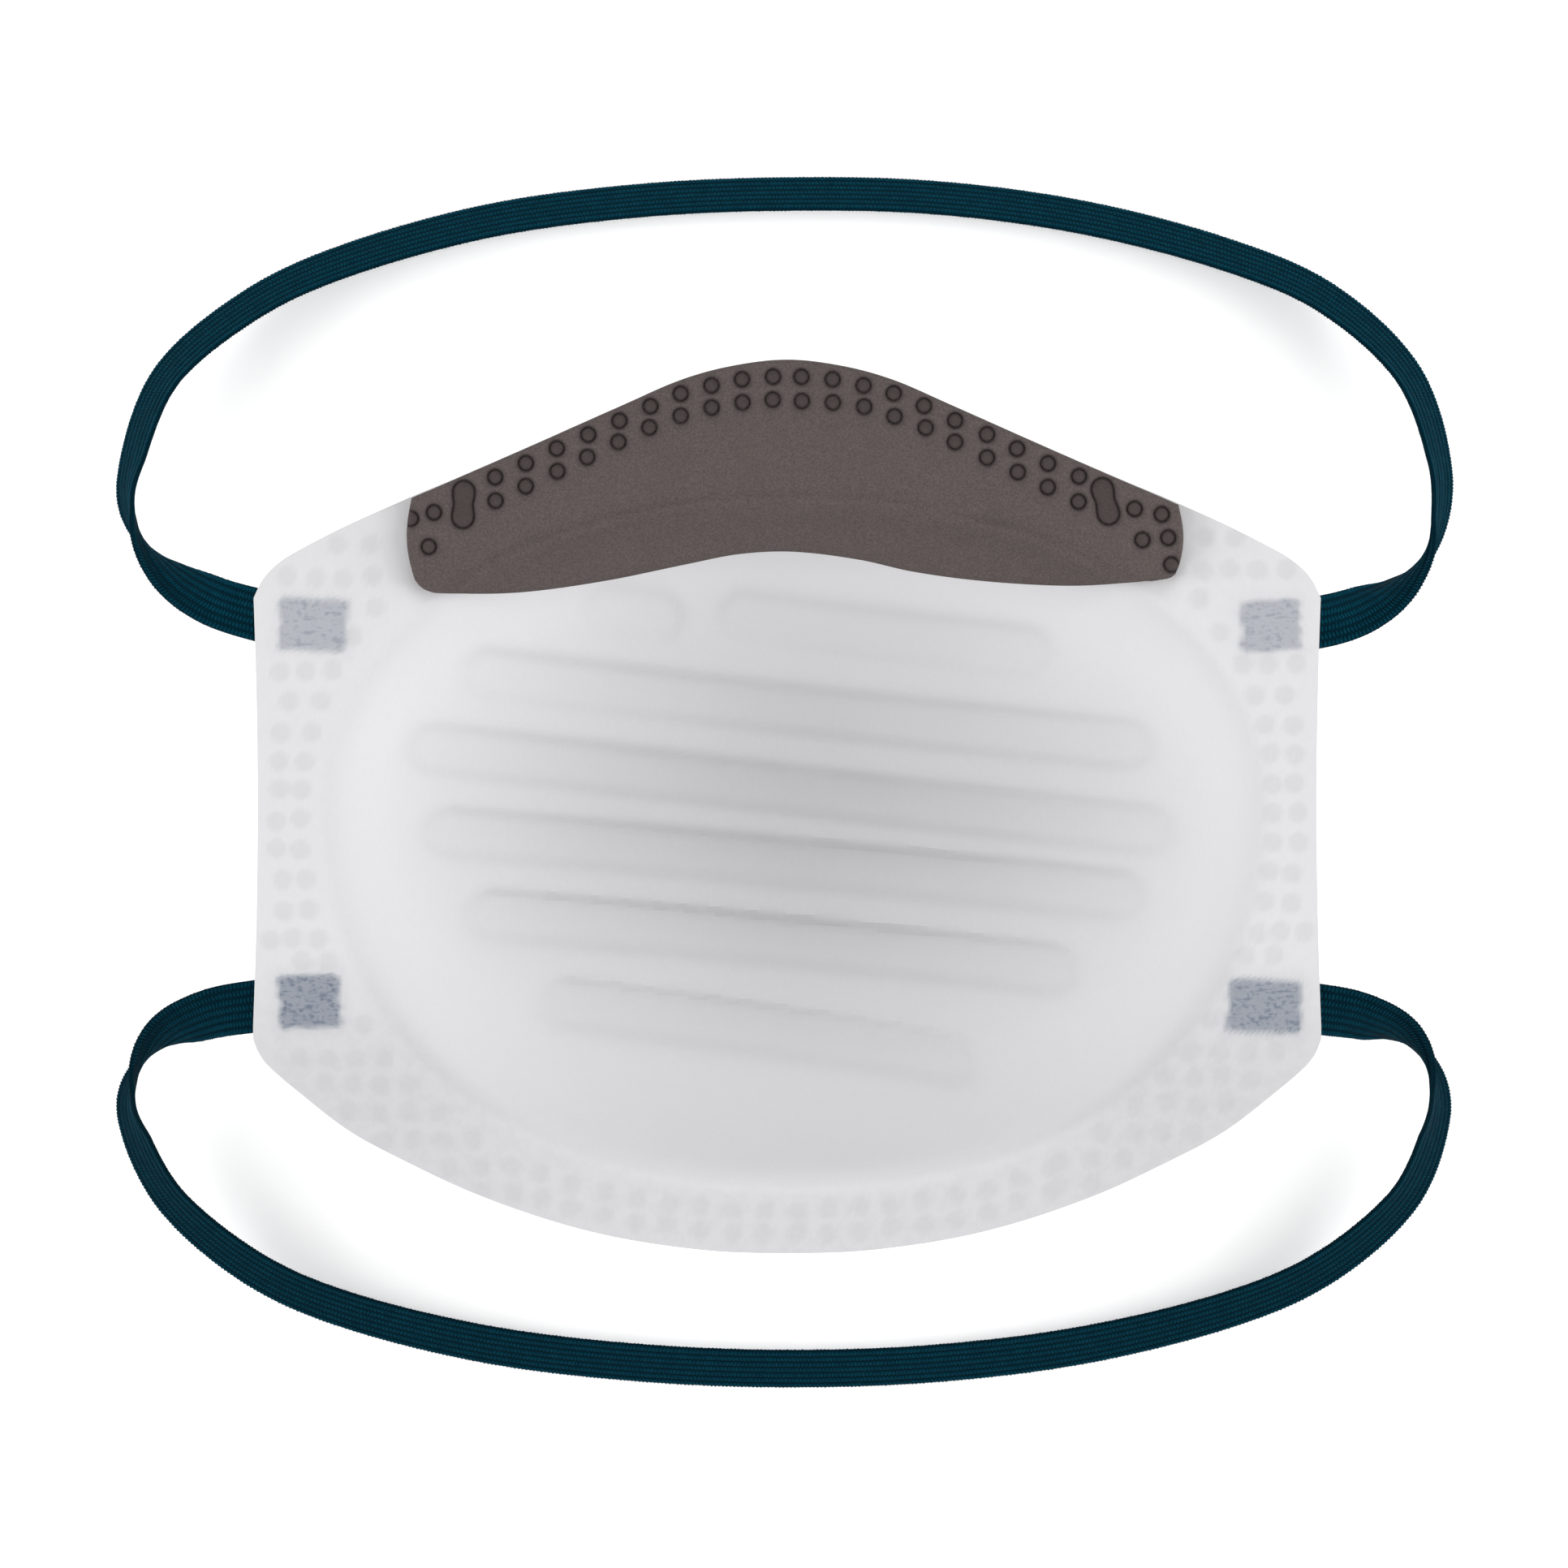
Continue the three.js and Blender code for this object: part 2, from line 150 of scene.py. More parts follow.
def rounded(away: Array, radius: float) -> Array:
    """How far an edge rounded to this radius falls, at each distance from it."""
    near = 1 - np.clip(away / radius, 0, 1)
    return radius * (1 - np.sqrt(1 - near**2))


def turned_back(x: Array, y: Array, cx: float, cy: float, degrees: float) -> tuple[Array, Array]:
    """Points seen from a centre, turned back by an angle."""
    c, s = math.cos(math.radians(degrees)), math.sin(math.radians(degrees))
    return (x - cx) * c + (y - cy) * s, (y - cy) * c - (x - cx) * s


def beside_line(x: Array, y: Array, ends: Sequence[float]) -> tuple[float, Array, Array]:
    """Measures points against a straight line.

    Args:
        x: The points' x.
        y: The points' y.
        ends: The line's ends as x0, y0, x1, y1.

    Returns:
        The line's length, and each point's distance along it and to its left.
    """
    x0, y0, x1, y1 = ends
    length = math.hypot(x1 - x0, y1 - y0)
    ux, uy = (x1 - x0) / length, (y1 - y0) / length
    return length, (x - x0) * ux + (y - y0) * uy, (y - y0) * ux - (x - x0) * uy


# ---------------------------------------------------------------- the mask's form


@dataclass(frozen=True)
class Placement:
    """Where the maker's frame lies in the row's frame."""

    dx: float
    dy: float

    @classmethod
    def from_frame(cls, form: "CupForm") -> "Placement":
        """Fits the form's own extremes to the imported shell's box."""
        low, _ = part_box("filter_shell")
        return cls(low.x / MM + form.side, low.y / MM - form.chin_edge(np.zeros(1))[0])

    def metres(self, points: Array) -> Array:
        """Points in the row's metres."""
        return (points + np.array([self.dx, self.dy, 0.0])) * MM


@dataclass(frozen=True)
class CupForm:
    """Height field of the mask's face side, and its outline."""

    cheek_height: float = 45.0
    cheek_flat_half: float = 20.0
    nose_chin_drop: float = 5.0
    nose_chin_reach: float = 37.0
    cup_floor: float = 2.6
    cup_wall: float = 1.8
    flange_wall: float = 1.3
    cup_centre_x: float = 0.95
    cup_half_width: float = 58.4
    cup_to_nose: float = 38.5
    cup_to_chin: float = 48.8
    nose_roundness: float = 2.1
    chin_roundness: float = 2.2
    bowl_power: float = 2.8
    shoulder: float = 4.0
    rib_half_width: float = 4.2
    rib_crisp_edge: float = 1.5
    rib_soft_edge: float = 3.9
    rib_fade: float = 0.34
    rib_boost: float = 1.35
    foam_droop: float = 48.0
    foam_bend: float = 0.16
    foam_settle: float = 1.2
    # painted shade of the channels: how it fades from the cup's middle outwards (from, to, share that goes),
    # of their floor (chin side, more on the nose side) and of the line along their edge
    shade_fade: Row = (0.15, 0.8, 0.65)
    floor_shade: Row = (0.2, 0.5)
    line_shade: float = 0.4
    side: float = 67.8
    side_bow: float = 0.6
    side_half_height: float = 28.0
    # half of the outline, from just past the middle to the side: x, y
    outline_nose: tuple[Row, ...] = (
        (-7, 56.2), (0, 57), (7, 56.2), (13.5, 54.4), (21, 51.1), (33, 45.7), (43, 41.3), (48, 39.2),
        (56, 35.6), (62, 32.5), (64.4, 31), (66.5, 28.9), (67.8, 26.4),
    )
    outline_chin: tuple[Row, ...] = (
        (-11.5, -56.6), (0, -57.1), (11.5, -56.6), (25, -54.3), (38.5, -49.9), (50, -44.5), (56, -41.1),
        (62, -36.4), (65.9, -33), (67.2, -31.2), (67.8, -29.6),
    )
    # rib channels: the tips of the middle line (x0, y0, x1, y1) and the depth
    ribs: tuple[Row, ...] = (
        (-27, 25.6, -13, 24.0, 0.75),
        (-9.8, 25, 35, 19.2, 1.4),
        (-42.7, 17.1, 48.1, 7.1, 1.4),
        (-49.7, 7.4, 50.6, -4, 1.4),
        (-47.9, -3.5, 47, -12.4, 1.4),
        (-42.6, -14.3, 38.6, -22.2, 1.4),
        (-33.2, -25.7, 25.7, -33.9, 1.3),
    )

    def nose_edge(self, x: Array) -> Array:
        """Upper outline."""
        return curve_through(self.outline_nose, np.abs(x))

    def chin_edge(self, x: Array) -> Array:
        """Lower outline."""
        return curve_through(self.outline_chin, np.abs(x))

    def cup_radius(self, x: Array, y: Array) -> Array:
        """Measures how far out in the cup the points lie.

        Args:
            x: The points' x.
            y: The points' y.

        Returns:
            0 in the middle of the cup, 1 on its edge.
        """
        power = np.where(y > 0, self.nose_roundness, self.chin_roundness)
        across = np.abs(x - self.cup_centre_x) / self.cup_half_width
        along = np.abs(y) / np.where(y > 0, self.cup_to_nose, self.cup_to_chin)
        return (across**power + along**power) ** (1 / power)

    def flange_height(self, y: Array) -> Array:
        """Height of the flange's face side, lower at the nose and chin."""
        past = np.maximum(0.0, np.abs(y) - self.cheek_flat_half) / self.nose_chin_reach
        return self.cheek_height - self.nose_chin_drop * past * past

    def _beside_ribs(self, x: Array, y: Array) -> Iterator[tuple[float, Array, Array, Array]]:
        """Walks over the rib channels.

        Args:
            x: The points' x.
            y: The points' y.

        Yields:
            A channel's depth, each point's distance past its edge (below 0 inside it), 1 on its nose side to
            -1 on its chin side, and the width of the edge there.
        """
        for *ends, depth in self.ribs:
            length, along, side = beside_line(x, y, ends)
            end = min(self.rib_half_width, length / 2)
            past = np.hypot(along - np.clip(along, end, length - end), side) - self.rib_half_width
            upward = np.clip(side / self.rib_half_width, -1.0, 1.0)
            softened = (self.rib_soft_edge - self.rib_crisp_edge) * smooth(0.0, 1.0, -upward)
            yield depth, past, upward, self.rib_crisp_edge + softened

    def rib_depth(self, x: Array, y: Array) -> Array:
        """Works out how far the channels push the wall down.

        Args:
            x: The points' x.
            y: The points' y.

        Returns:
            The depth; each channel is crisp and deepest along its nose side.
        """
        deepest = np.zeros(np.shape(x))
        for depth, past, upward, blur in self._beside_ribs(x, y):
            share = self.rib_boost * (1.0 - self.rib_fade * (1.0 - upward))
            inside = 1 - smooth(0.0, 1.0, past / blur + 1)
            deepest = np.maximum(deepest, depth * share * inside)
        return deepest

    def painted_rib_shade(self, x: Array, y: Array) -> Array:
        """Works out the shade painted into the channels.

        Args:
            x: The points' x.
            y: The points' y.

        Returns:
            The painted shade, most along the channels' nose edges and deep in the cup.
        """
        shade = np.zeros(np.shape(x))
        fade_from, fade_to, fade_share = self.shade_fade
        deep = 1 - fade_share * smooth(fade_from, fade_to, self.cup_radius(x, y))
        least, more = self.floor_shade
        for _, past, upward, blur in self._beside_ribs(x, y):
            to_nose = 0.5 + 0.5 * upward
            floor = (1 - smooth(-1.2, -0.2, past)) * (least + more * to_nose**2) * deep
            line = self.line_shade * np.exp(-(((past + 0.5 * blur) / (0.7 * blur)) ** 2))
            shade = np.maximum(shade, floor + line * (0.25 + 0.75 * to_nose))
        return shade

    def face_side(self, x: Array, y: Array) -> Array:
        """Works out the height of the side that lies on the face.

        Args:
            x: The points' x.
            y: The points' y.

        Returns:
            The height of the cup with its channels, turning softly into the flange.
        """
        depth = self.cheek_height - self.cup_floor
        bowl = self.cup_floor + depth * self.cup_radius(x, y) ** self.bowl_power - self.rib_depth(x, y)
        return soft_min(bowl, self.flange_height(y), self.shoulder)

    def wall(self, x: Array, y: Array) -> Array:
        """Wall thickness, thinner in the welded flange."""
        pressed = smooth(0.95, 1.06, self.cup_radius(x, y))
        return self.cup_wall + (self.flange_wall - self.cup_wall) * pressed

    def foam_bed(self, x: Array, y: Array) -> Array:
        """Works out the height of what the foam lies on.

        Args:
            x: The points' x.
            y: The points' y.

        Returns:
            The flange, then a gentle fall over the cup's edge, bent softly.
        """
        past = 1.0 - self.cup_radius(x, y)
        inside = 0.5 * (past + np.hypot(past, self.foam_bend)) - 0.25 * self.foam_bend
        falling = self.flange_height(y) - self.foam_droop * inside
        return -soft_min(-self.face_side(x, y), -falling, self.foam_settle)


def field_normals(
    height: Callable[[Array, Array], Array], x: Array, y: Array, step: float = 0.05
) -> Array:
    """Works out the upward normals of a height field.

    Args:
        height: The field, a height for each x and y.
        x: The points' x.
        y: The points' y.
        step: The slopes are taken over twice this distance.

    Returns:
        A unit normal for each point.
    """
    dx = (height(x + step, y) - height(x - step, y)) / (2 * step)
    dy = (height(x, y + step) - height(x, y - step)) / (2 * step)
    normal = np.stack([-dx, -dy, np.ones_like(dx)], -1)
    return normal / np.linalg.norm(normal, axis=-1, keepdims=True)


# ---------------------------------------------------------------- meshes


def quads_of(number: Array) -> Array:
    """Quads of a grid of vertex numbers, seen from its upper side."""
    corners = [number[:-1, :-1], number[1:, :-1], number[1:, 1:], number[:-1, 1:]]
    return np.stack(corners, -1).reshape(-1, 4)


def border_of(number: Array) -> Array:
    """The outermost vertex numbers of a grid in order, the first one again at the end."""
    ring = np.concatenate([number[:-1, 0], number[-1, :-1], number[:0:-1, -1], number[0, :0:-1]])
    return np.append(ring, ring[0])


def sheet_faces(columns: int, rows: int, skip: int = 1) -> list[list[int]]:
    """Faces of a closed sheet whose upper grid comes before its lower one.

    Args:
        columns: Columns of points in the upper grid.
        rows: Points in a column of the upper grid.
        skip: The lower grid has every skip-th of those points.

    Returns:
        Lists of vertex numbers, facing outwards.
    """
    number = np.arange(columns * rows).reshape(columns, rows)
    under = np.arange(len(range(0, columns, skip)) * len(range(0, rows, skip)))
    under = under.reshape(-1, len(range(0, rows, skip))) + number.size
    ring, low_ring = border_of(number), border_of(under)
    rim = [
        [*ring[k * skip : (k + 1) * skip + 1][::-1].tolist(), int(low_ring[k]), int(low_ring[k + 1])]
        for k in range(len(low_ring) - 1)
    ]
    return quads_of(number).tolist() + quads_of(under)[:, ::-1].tolist() + rim


def mesh_object(name: str, points: Array, faces: Sequence[Sequence[int]]) -> bpy.types.Object:
    """Makes a smooth mesh object at the origin, its place in its points.

    Args:
        name: The object's name.
        points: Rows of x, y, z in the row's metres.
        faces: The vertex numbers of each face.

    Returns:
        The object, linked to the scene.
    """
    mesh = bpy.data.meshes.new(name)
    mesh.from_pydata(points.tolist(), [], faces)
    mesh.polygons.foreach_set("use_smooth", np.ones(len(mesh.polygons), bool))
    mesh.update()
    piece = bpy.data.objects.new(name, mesh)
    bpy.context.scene.collection.objects.link(piece)
    return piece


def sheet_object(
    name: str, upper: Array, lower: Array, place: Placement, crisp: float, skip: int = 1
) -> bpy.types.Object:
    """Makes a closed sheet between two grids of points.

    Args:
        name: The object's name.
        upper: The upper side's columns of points, in the maker's millimetres.
        lower: The lower side's, with every skip-th point of the upper grid.
        place: Where the maker's frame lies.
        crisp: Edges that turn by more degrees than this are shaded sharp.
        skip: See lower.

    Returns:
        The object, linked to the scene.
    """
    points = place.metres(np.concatenate([upper.reshape(-1, 3), lower.reshape(-1, 3)]))
    piece = mesh_object(name, points, sheet_faces(*upper.shape[:2], skip))
    piece.data.set_sharp_from_angle(angle=math.radians(crisp))
    return piece


def add_values(piece: bpy.types.Object, name: str, *grids: Array, kind: str = "FLOAT") -> None:
    """Stores an attribute on a piece's vertices.

    Args:
        piece: The piece.
        name: The attribute's name.
        *grids: Its values, in the vertices' order.
        kind: FLOAT for numbers, FLOAT_VECTOR for directions.
    """
    layer = piece.data.attributes.new(name, kind, "POINT")
    values = np.concatenate([np.ravel(grid) for grid in grids]).astype(np.float32)
    layer.data.foreach_set("value" if kind == "FLOAT" else "vector", values)


def hand_over(piece: bpy.types.Object, node: str, material: bpy.types.Material) -> None:
    """Dresses a piece, puts it in place of its solid and makes it ride on the mask.

    Args:
        piece: The finished mesh.
        node: The solid that it stands for.
        material: Its finish.
    """
    piece.data.materials.append(material)
    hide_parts(node)
    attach(piece, "root")
    LOG.info("%s: %d faces, stands for %s", piece.name, len(piece.data.polygons), node)


# ---------------------------------------------------------------- node trees


class Tree:
    """Thin helper over a node tree."""

    def __init__(self, tree: bpy.types.NodeTree) -> None:
        """Keeps the tree."""
        self.tree = tree

    def feed(self, socket: bpy.types.NodeSocket, value: object) -> None:
        """Gives an input what it takes.

        Args:
            socket: The input.
            value: A socket to link it to, or its value; a colour is r, g, b.
        """
        if isinstance(value, bpy.types.NodeSocket):
            self.tree.links.new(value, socket)
        elif socket.type == "RGBA":
            socket.default_value = (*value, 1.0)
        else:
            socket.default_value = value

    def node(
        self, kind: str, inputs: dict[str | int, object] | None = None, **settings: object
    ) -> bpy.types.Node:
        """Adds a node.

        Args:
            kind: The node's type name.
            inputs: What its inputs are given, by name or number.
            **settings: Properties of the node.

        Returns:
            The node.
        """
        made = self.tree.nodes.new(kind)
        for key, value in settings.items():
            setattr(made, key, value)
        for key, value in (inputs or {}).items():
            self.feed(made.inputs[key], value)
        return made

    def math(self, operation: str, *values: object) -> bpy.types.NodeSocket:
        """The result of a Math node whose inputs are sockets or numbers."""
        return self.node("ShaderNodeMath", dict(enumerate(values)), operation=operation).outputs[0]

    def noise(self, where: object, scale: object, **others: float) -> bpy.types.NodeSocket:
        """The value of a noise at a place and scale, its other inputs by name."""
        return self.node("ShaderNodeTexNoise", {"Vector": where, "Scale": scale, **others}).outputs["Fac"]

    def spread(
        self, value: object, low: object, high: object, first: float = 0.0, last: float = 1.0
    ) -> bpy.types.NodeSocket:
        """Smooth step of a value.

        Args:
            value: What is measured.
            low: Up to here the result is first.
            high: From here on it is last.
            first: The result at the low end.
            last: The result at the high end.

        Returns:
            The result's socket.
        """
        inputs = {"Value": value, "From Min": low, "From Max": high, "To Min": first, "To Max": last}
        return self.node("ShaderNodeMapRange", inputs, interpolation_type="SMOOTHSTEP").outputs["Result"]

    def mix_colour(self, mask: object, first: object, second: object) -> bpy.types.NodeSocket:
        """The mix of two colours, from the first where the mask is 0 to the second where it is 1."""
        return self.node("ShaderNodeMix", {0: mask, 6: first, 7: second}, data_type="RGBA").outputs[2]

    def veil(self, base: object, colour: object, mask: object, share: object) -> bpy.types.NodeSocket:
        """A base with a share of a colour laid over it where the mask is 1."""
        return self.mix_colour(self.math("MULTIPLY", mask, share), base, colour)


def shader_group(
    name: str, inputs: dict[str, object], outputs: Sequence[str]
) -> tuple[Tree, bpy.types.NodeOutputs, bpy.types.NodeInputs]:
    """Makes a shader node group.

    Args:
        name: The group's name.
        inputs: Each input's default: a number, a vector, or None for a vector that is always linked.
        outputs: Names of its outputs, all values.

    Returns:
        The group's tree, the sockets that its inputs arrive by and those that its outputs leave by.
    """
    tree = Tree(bpy.data.node_groups.new(name, "ShaderNodeTree"))
    for label, default in inputs.items():
        kind = "NodeSocketFloat" if isinstance(default, float) else "NodeSocketVector"
        socket = tree.tree.interface.new_socket(label, in_out="INPUT", socket_type=kind)
        if default is not None:
            socket.default_value = default
    for label in outputs:
        tree.tree.interface.new_socket(label, in_out="OUTPUT", socket_type="NodeSocketFloat")
    return tree, tree.node("NodeGroupInput").outputs, tree.node("NodeGroupOutput").inputs


class SharedEffects:
    """Shader groups that more than one finish uses, built once."""

    def __init__(self) -> None:
        """Builds the groups."""
        self.fibres = self._fibres()
        self.mottle = self._mottle()

    @staticmethod
    def _fibres() -> bpy.types.NodeTree:
        """Builds felted threads, a noise drawn out along one way and crossed by a finer one.

        Returns:
            The group; its Web is 0 on thin lines.
        """
        defaults = {"Vector": None, "Thread mm": 0.2, "Draw": (1.0, 0.15, 1.0)}
        tree, given, out = shader_group("felted_fibres", defaults, ["Fibre", "Height", "Web"])
        ways = {0: given["Vector"], 1: given["Draw"]}
        drawn = tree.node("ShaderNodeVectorMath", ways, operation="MULTIPLY")
        pitch = tree.math("DIVIDE", 1.0 / MM, given["Thread mm"])
        threads = tree.noise(drawn.outputs[0], tree.math("MULTIPLY", pitch, 0.5), Detail=3.0, Distortion=0.6)
        crossing = tree.noise(given["Vector"], tree.math("MULTIPLY", pitch, 0.8), Detail=2.0)
        both = tree.math("MULTIPLY_ADD", crossing, 0.4, tree.math("MULTIPLY", threads, 0.6))
        tree.feed(out["Fibre"], both)
        tree.feed(out["Height"], tree.math("POWER", both, 2.0))
        tree.feed(out["Web"], tree.math("ABSOLUTE", tree.math("SUBTRACT", both, 0.5)))
        return tree.tree

    @staticmethod
    def _mottle() -> bpy.types.NodeTree:
        """Builds broad cloudiness with few stronger patches.

        Returns:
            The group.
        """
        defaults = {"Vector": None, "Cloud mm": 6.0, "From": 0.4, "To": 0.65}
        tree, given, out = shader_group("cloudy_mottle", defaults, ["Cloud"])
        scale = tree.math("DIVIDE", 1.0 / MM, given["Cloud mm"])
        noise = tree.noise(given["Vector"], scale, Detail=4.0, Roughness=0.6)
        tree.feed(out["Cloud"], tree.spread(noise, given["From"], given["To"]))
        return tree.tree


class Surface:
    """A material with its Principled shader and object coordinates at hand."""

    def __init__(self, name: str, **constants: object) -> None:
        """Makes the material.

        Args:
            name: The material's name.
            **constants: Values of the shader's inputs, with _ for a blank in their names.
        """
        self.material = bpy.data.materials.new(name)
        self.material.use_nodes = True
        self.tree = Tree(self.material.node_tree)
        self.shader = self.material.node_tree.nodes["Principled BSDF"]
        self.where = self.tree.node("ShaderNodeTexCoord").outputs["Object"]
        for key, value in constants.items():
            self.link(key.replace("_", " "), value)

    def link(self, label: str, value: object) -> None:
        """Gives one of the shader's inputs a socket or a constant."""
        self.tree.feed(self.shader.inputs[label], value)

    def effect(self, group: bpy.types.NodeTree, **values: object) -> bpy.types.NodeOutputs:
        """Places a shared group, fed with object coordinates.

        Args:
            group: The group.
            **values: Its inputs, with _ for a blank in their names.

        Returns:
            The group's outputs.
        """
        inputs = {"Vector": self.where}
        for key, value in values.items():
            inputs[key.replace("_", " ")] = value
        return self.tree.node("ShaderNodeGroup", inputs, node_tree=group).outputs

    def value_of(self, attribute: str) -> bpy.types.NodeSocket:
        """An attribute stored on the piece's vertices."""
        return self.tree.node("ShaderNodeAttribute", attribute_name=attribute).outputs["Fac"]

    def bump(self, height: bpy.types.NodeSocket, depth_mm: float, strength: float) -> None:
        """Feeds a height to the shader's normal."""
        inputs = {"Height": height, "Distance": depth_mm * MM, "Strength": strength}
        self.link("Normal", self.tree.node("ShaderNodeBump", inputs).outputs["Normal"])


# ---------------------------------------------------------------- finishes


@dataclass(frozen=True)
class PressedFibre:
    """White heat-pressed polyester felt, greyer where it is pressed hard and mottled in the flange, with
    painted shade in the channels and towards the chin.
    """

    light: Row = (0.765, 0.760, 0.772)
    dark: Row = (0.705, 0.700, 0.715)
    # grey of pressed felt, also laid as painted shade in the flange and the channels
    pressed: Row = (0.45, 0.45, 0.468)
    strap_behind: Row = (0.155, 0.185, 0.240)
    thread_mm: float = 0.22
    cloud_share: float = 0.10
    flange_share: float = 0.093
    patch_share: float = 0.014
    dot_share: float = 0.23
    # share of the painted shade in the channels
    channel_shade_share: float = 0.32
    roughness: float = 0.95

    def material(self, shared: SharedEffects) -> bpy.types.Material:
        """Builds the finish from the piece's attributes dots, pads, flange and the painted channel shade.

        Args:
            shared: The shared effects.

        Returns:
            The material.
        """
        s = Surface("pressed_white_felt", Roughness=self.roughness, Specular_IOR_Level=0.1)
        fibres = s.effect(shared.fibres, Thread_mm=self.thread_mm, Draw=(1.0, 0.3, 1.0))
        felt = s.tree.mix_colour(fibres["Fibre"], self.dark, self.light)
        cloud = s.effect(shared.mottle, Cloud_mm=9.0, From=0.3, To=0.75)["Cloud"]
        felt = s.tree.veil(felt, self.dark, cloud, self.cloud_share)
        patch = s.effect(shared.mottle, Cloud_mm=1.5, From=0.42, To=0.62)["Cloud"]
        # share of the flange's grey, which includes painted shade towards the chin
        flange_tone_share = s.tree.math("MULTIPLY_ADD", patch, self.patch_share, self.flange_share)
        # flange: the welded flange's grey plus painted shade towards the chin; the last attribute is painted
        # shade in the channels
        for attribute, share in (("flange", flange_tone_share), ("dots", self.dot_share), ("channel_shade", self.channel_shade_share)):
            felt = s.tree.veil(felt, self.pressed, s.value_of(attribute), share)
        web = s.effect(shared.fibres, Thread_mm=0.55, Draw=(0.4, 1.3, 1.0))["Web"]
        ink = s.tree.spread(web, 0.0, 0.17, 0.72, 1.0)
        s.link("Base Color", s.tree.veil(felt, self.strap_behind, s.value_of("pads"), ink))
        s.bump(fibres["Height"], 0.04, 0.45)
        return s.material


@dataclass(frozen=True)
class ClosedFoam:
    """Fine-celled grey-brown foam."""

    light: Row = (0.124, 0.103, 0.098)
    dark: Row = (0.086, 0.070, 0.067)
    cell_mm: float = 0.13
    cloud_share: float = 0.18
    # painted shade of the pressed dots: over the disc, in a halo round it and in the groove along its rim
    disc_share: float = 0.46
    halo_mm: float = 0.8
    halo_share: float = 0.26
    ring_half_mm: float = 0.26
    ring_share: float = 0.45
    roughness: float = 0.95

    def material(self, shared: SharedEffects) -> bpy.types.Material:
        """Builds the finish from the piece's gap attribute, the distance from its pressed rims, with painted
        shade in the dots.

        Args:
            shared: The shared effects.

        Returns:
            The material.
        """
        s = Surface("grey_brown_foam", Roughness=self.roughness, Specular_IOR_Level=0.1)
        cells = s.effect(shared.fibres, Thread_mm=self.cell_mm, Draw=(1.0, 1.0, 1.0))
        cloud = s.effect(shared.mottle, Cloud_mm=4.0, From=0.35, To=0.7)["Cloud"]
        base = s.tree.mix_colour(s.tree.spread(cells["Fibre"], 0.38, 0.62), self.dark, self.light)
        base = s.tree.veil(base, self.dark, cloud, self.cloud_share)
        gap = s.value_of("gap")
        # painted shade over the dots' discs and halos, painted shadow in their rim grooves
        shaded, groove_shadow = (tuple(share * c for c in self.dark) for share in (0.5, 0.35))
        base = s.tree.mix_colour(s.tree.spread(gap, -0.15, 0.15, self.disc_share, 0.0), base, shaded)
        base = s.tree.mix_colour(s.tree.spread(gap, 0.0, self.halo_mm, self.halo_share, 0.0), base, shaded)
        to_rim = s.tree.math("ABSOLUTE", gap)
        ring = s.tree.spread(to_rim, 0.03, self.ring_half_mm, self.ring_share, 0.0)
        s.link("Base Color", s.tree.mix_colour(ring, base, groove_shadow))
        s.bump(cells["Height"], 0.08, 0.7)
        return s.material


@dataclass(frozen=True)
class KnittedElastic:
    """Dark teal texturised yarn."""

    yarn: Row = (0.0009, 0.0245, 0.043)
    shine: Row = (0.0020, 0.060, 0.093)
    # the band's colour between the stitches: painted shade
    gap: Row = (0.0006, 0.015, 0.025)
    roughness: float = 0.75
    name: str = "teal_knitted_elastic"

    def darker(self, share: float) -> "KnittedElastic":
        """A copy of the same elastic whose colours are darkened to this share, as painted shade."""
        colours = [tuple(share * c for c in colour) for colour in (self.yarn, self.shine, self.gap)]
        return KnittedElastic(*colours, self.roughness, "dark_" + self.name)

    def material(self, shared: SharedEffects) -> bpy.types.Material:
        """Builds the finish from the piece's stitch attribute, 1 on the stitches and 0 on the band.

        Args:
            shared: The shared effects.

        Returns:
            The material.
        """
        s = Surface(self.name, Roughness=self.roughness, Specular_IOR_Level=0.02)
        plies = s.effect(shared.fibres, Thread_mm=0.09, Draw=(1.0, 1.0, 1.0))
        cloud = s.effect(shared.mottle, Cloud_mm=1.6, From=0.35, To=0.65)["Cloud"]
        yarn = s.tree.mix_colour(plies["Fibre"], self.yarn, self.shine)
        yarn = s.tree.veil(yarn, self.yarn, cloud, 0.5)
        # the band between the stitches takes the gap colour, painted shade
        s.link("Base Color", s.tree.mix_colour(s.value_of("stitch"), self.gap, yarn))
        s.bump(plies["Height"], 0.02, 0.5)
        return s.material


@dataclass(frozen=True)
class RolledAluminium:
    """Plain rolled strip with fine lengthwise marks."""

    light: Row = (0.78, 0.78, 0.79)
    dark: Row = (0.60, 0.60, 0.62)

    def material(self, shared: SharedEffects) -> bpy.types.Material:
        """Builds the finish.

        Args:
            shared: The shared effects.

        Returns:
            The material.
        """
        s = Surface("rolled_aluminium", Metallic=1.0)
        marks = s.effect(shared.fibres, Thread_mm=0.12, Draw=(0.04, 1.0, 1.0))
        s.link("Base Color", s.tree.mix_colour(marks["Fibre"], self.dark, self.light))
        s.bump(marks["Height"], 0.01, 0.4)
        s.link("Roughness", s.tree.math("MULTIPLY_ADD", marks["Fibre"], 0.2, 0.25))
        return s.material


# ---------------------------------------------------------------- pieces


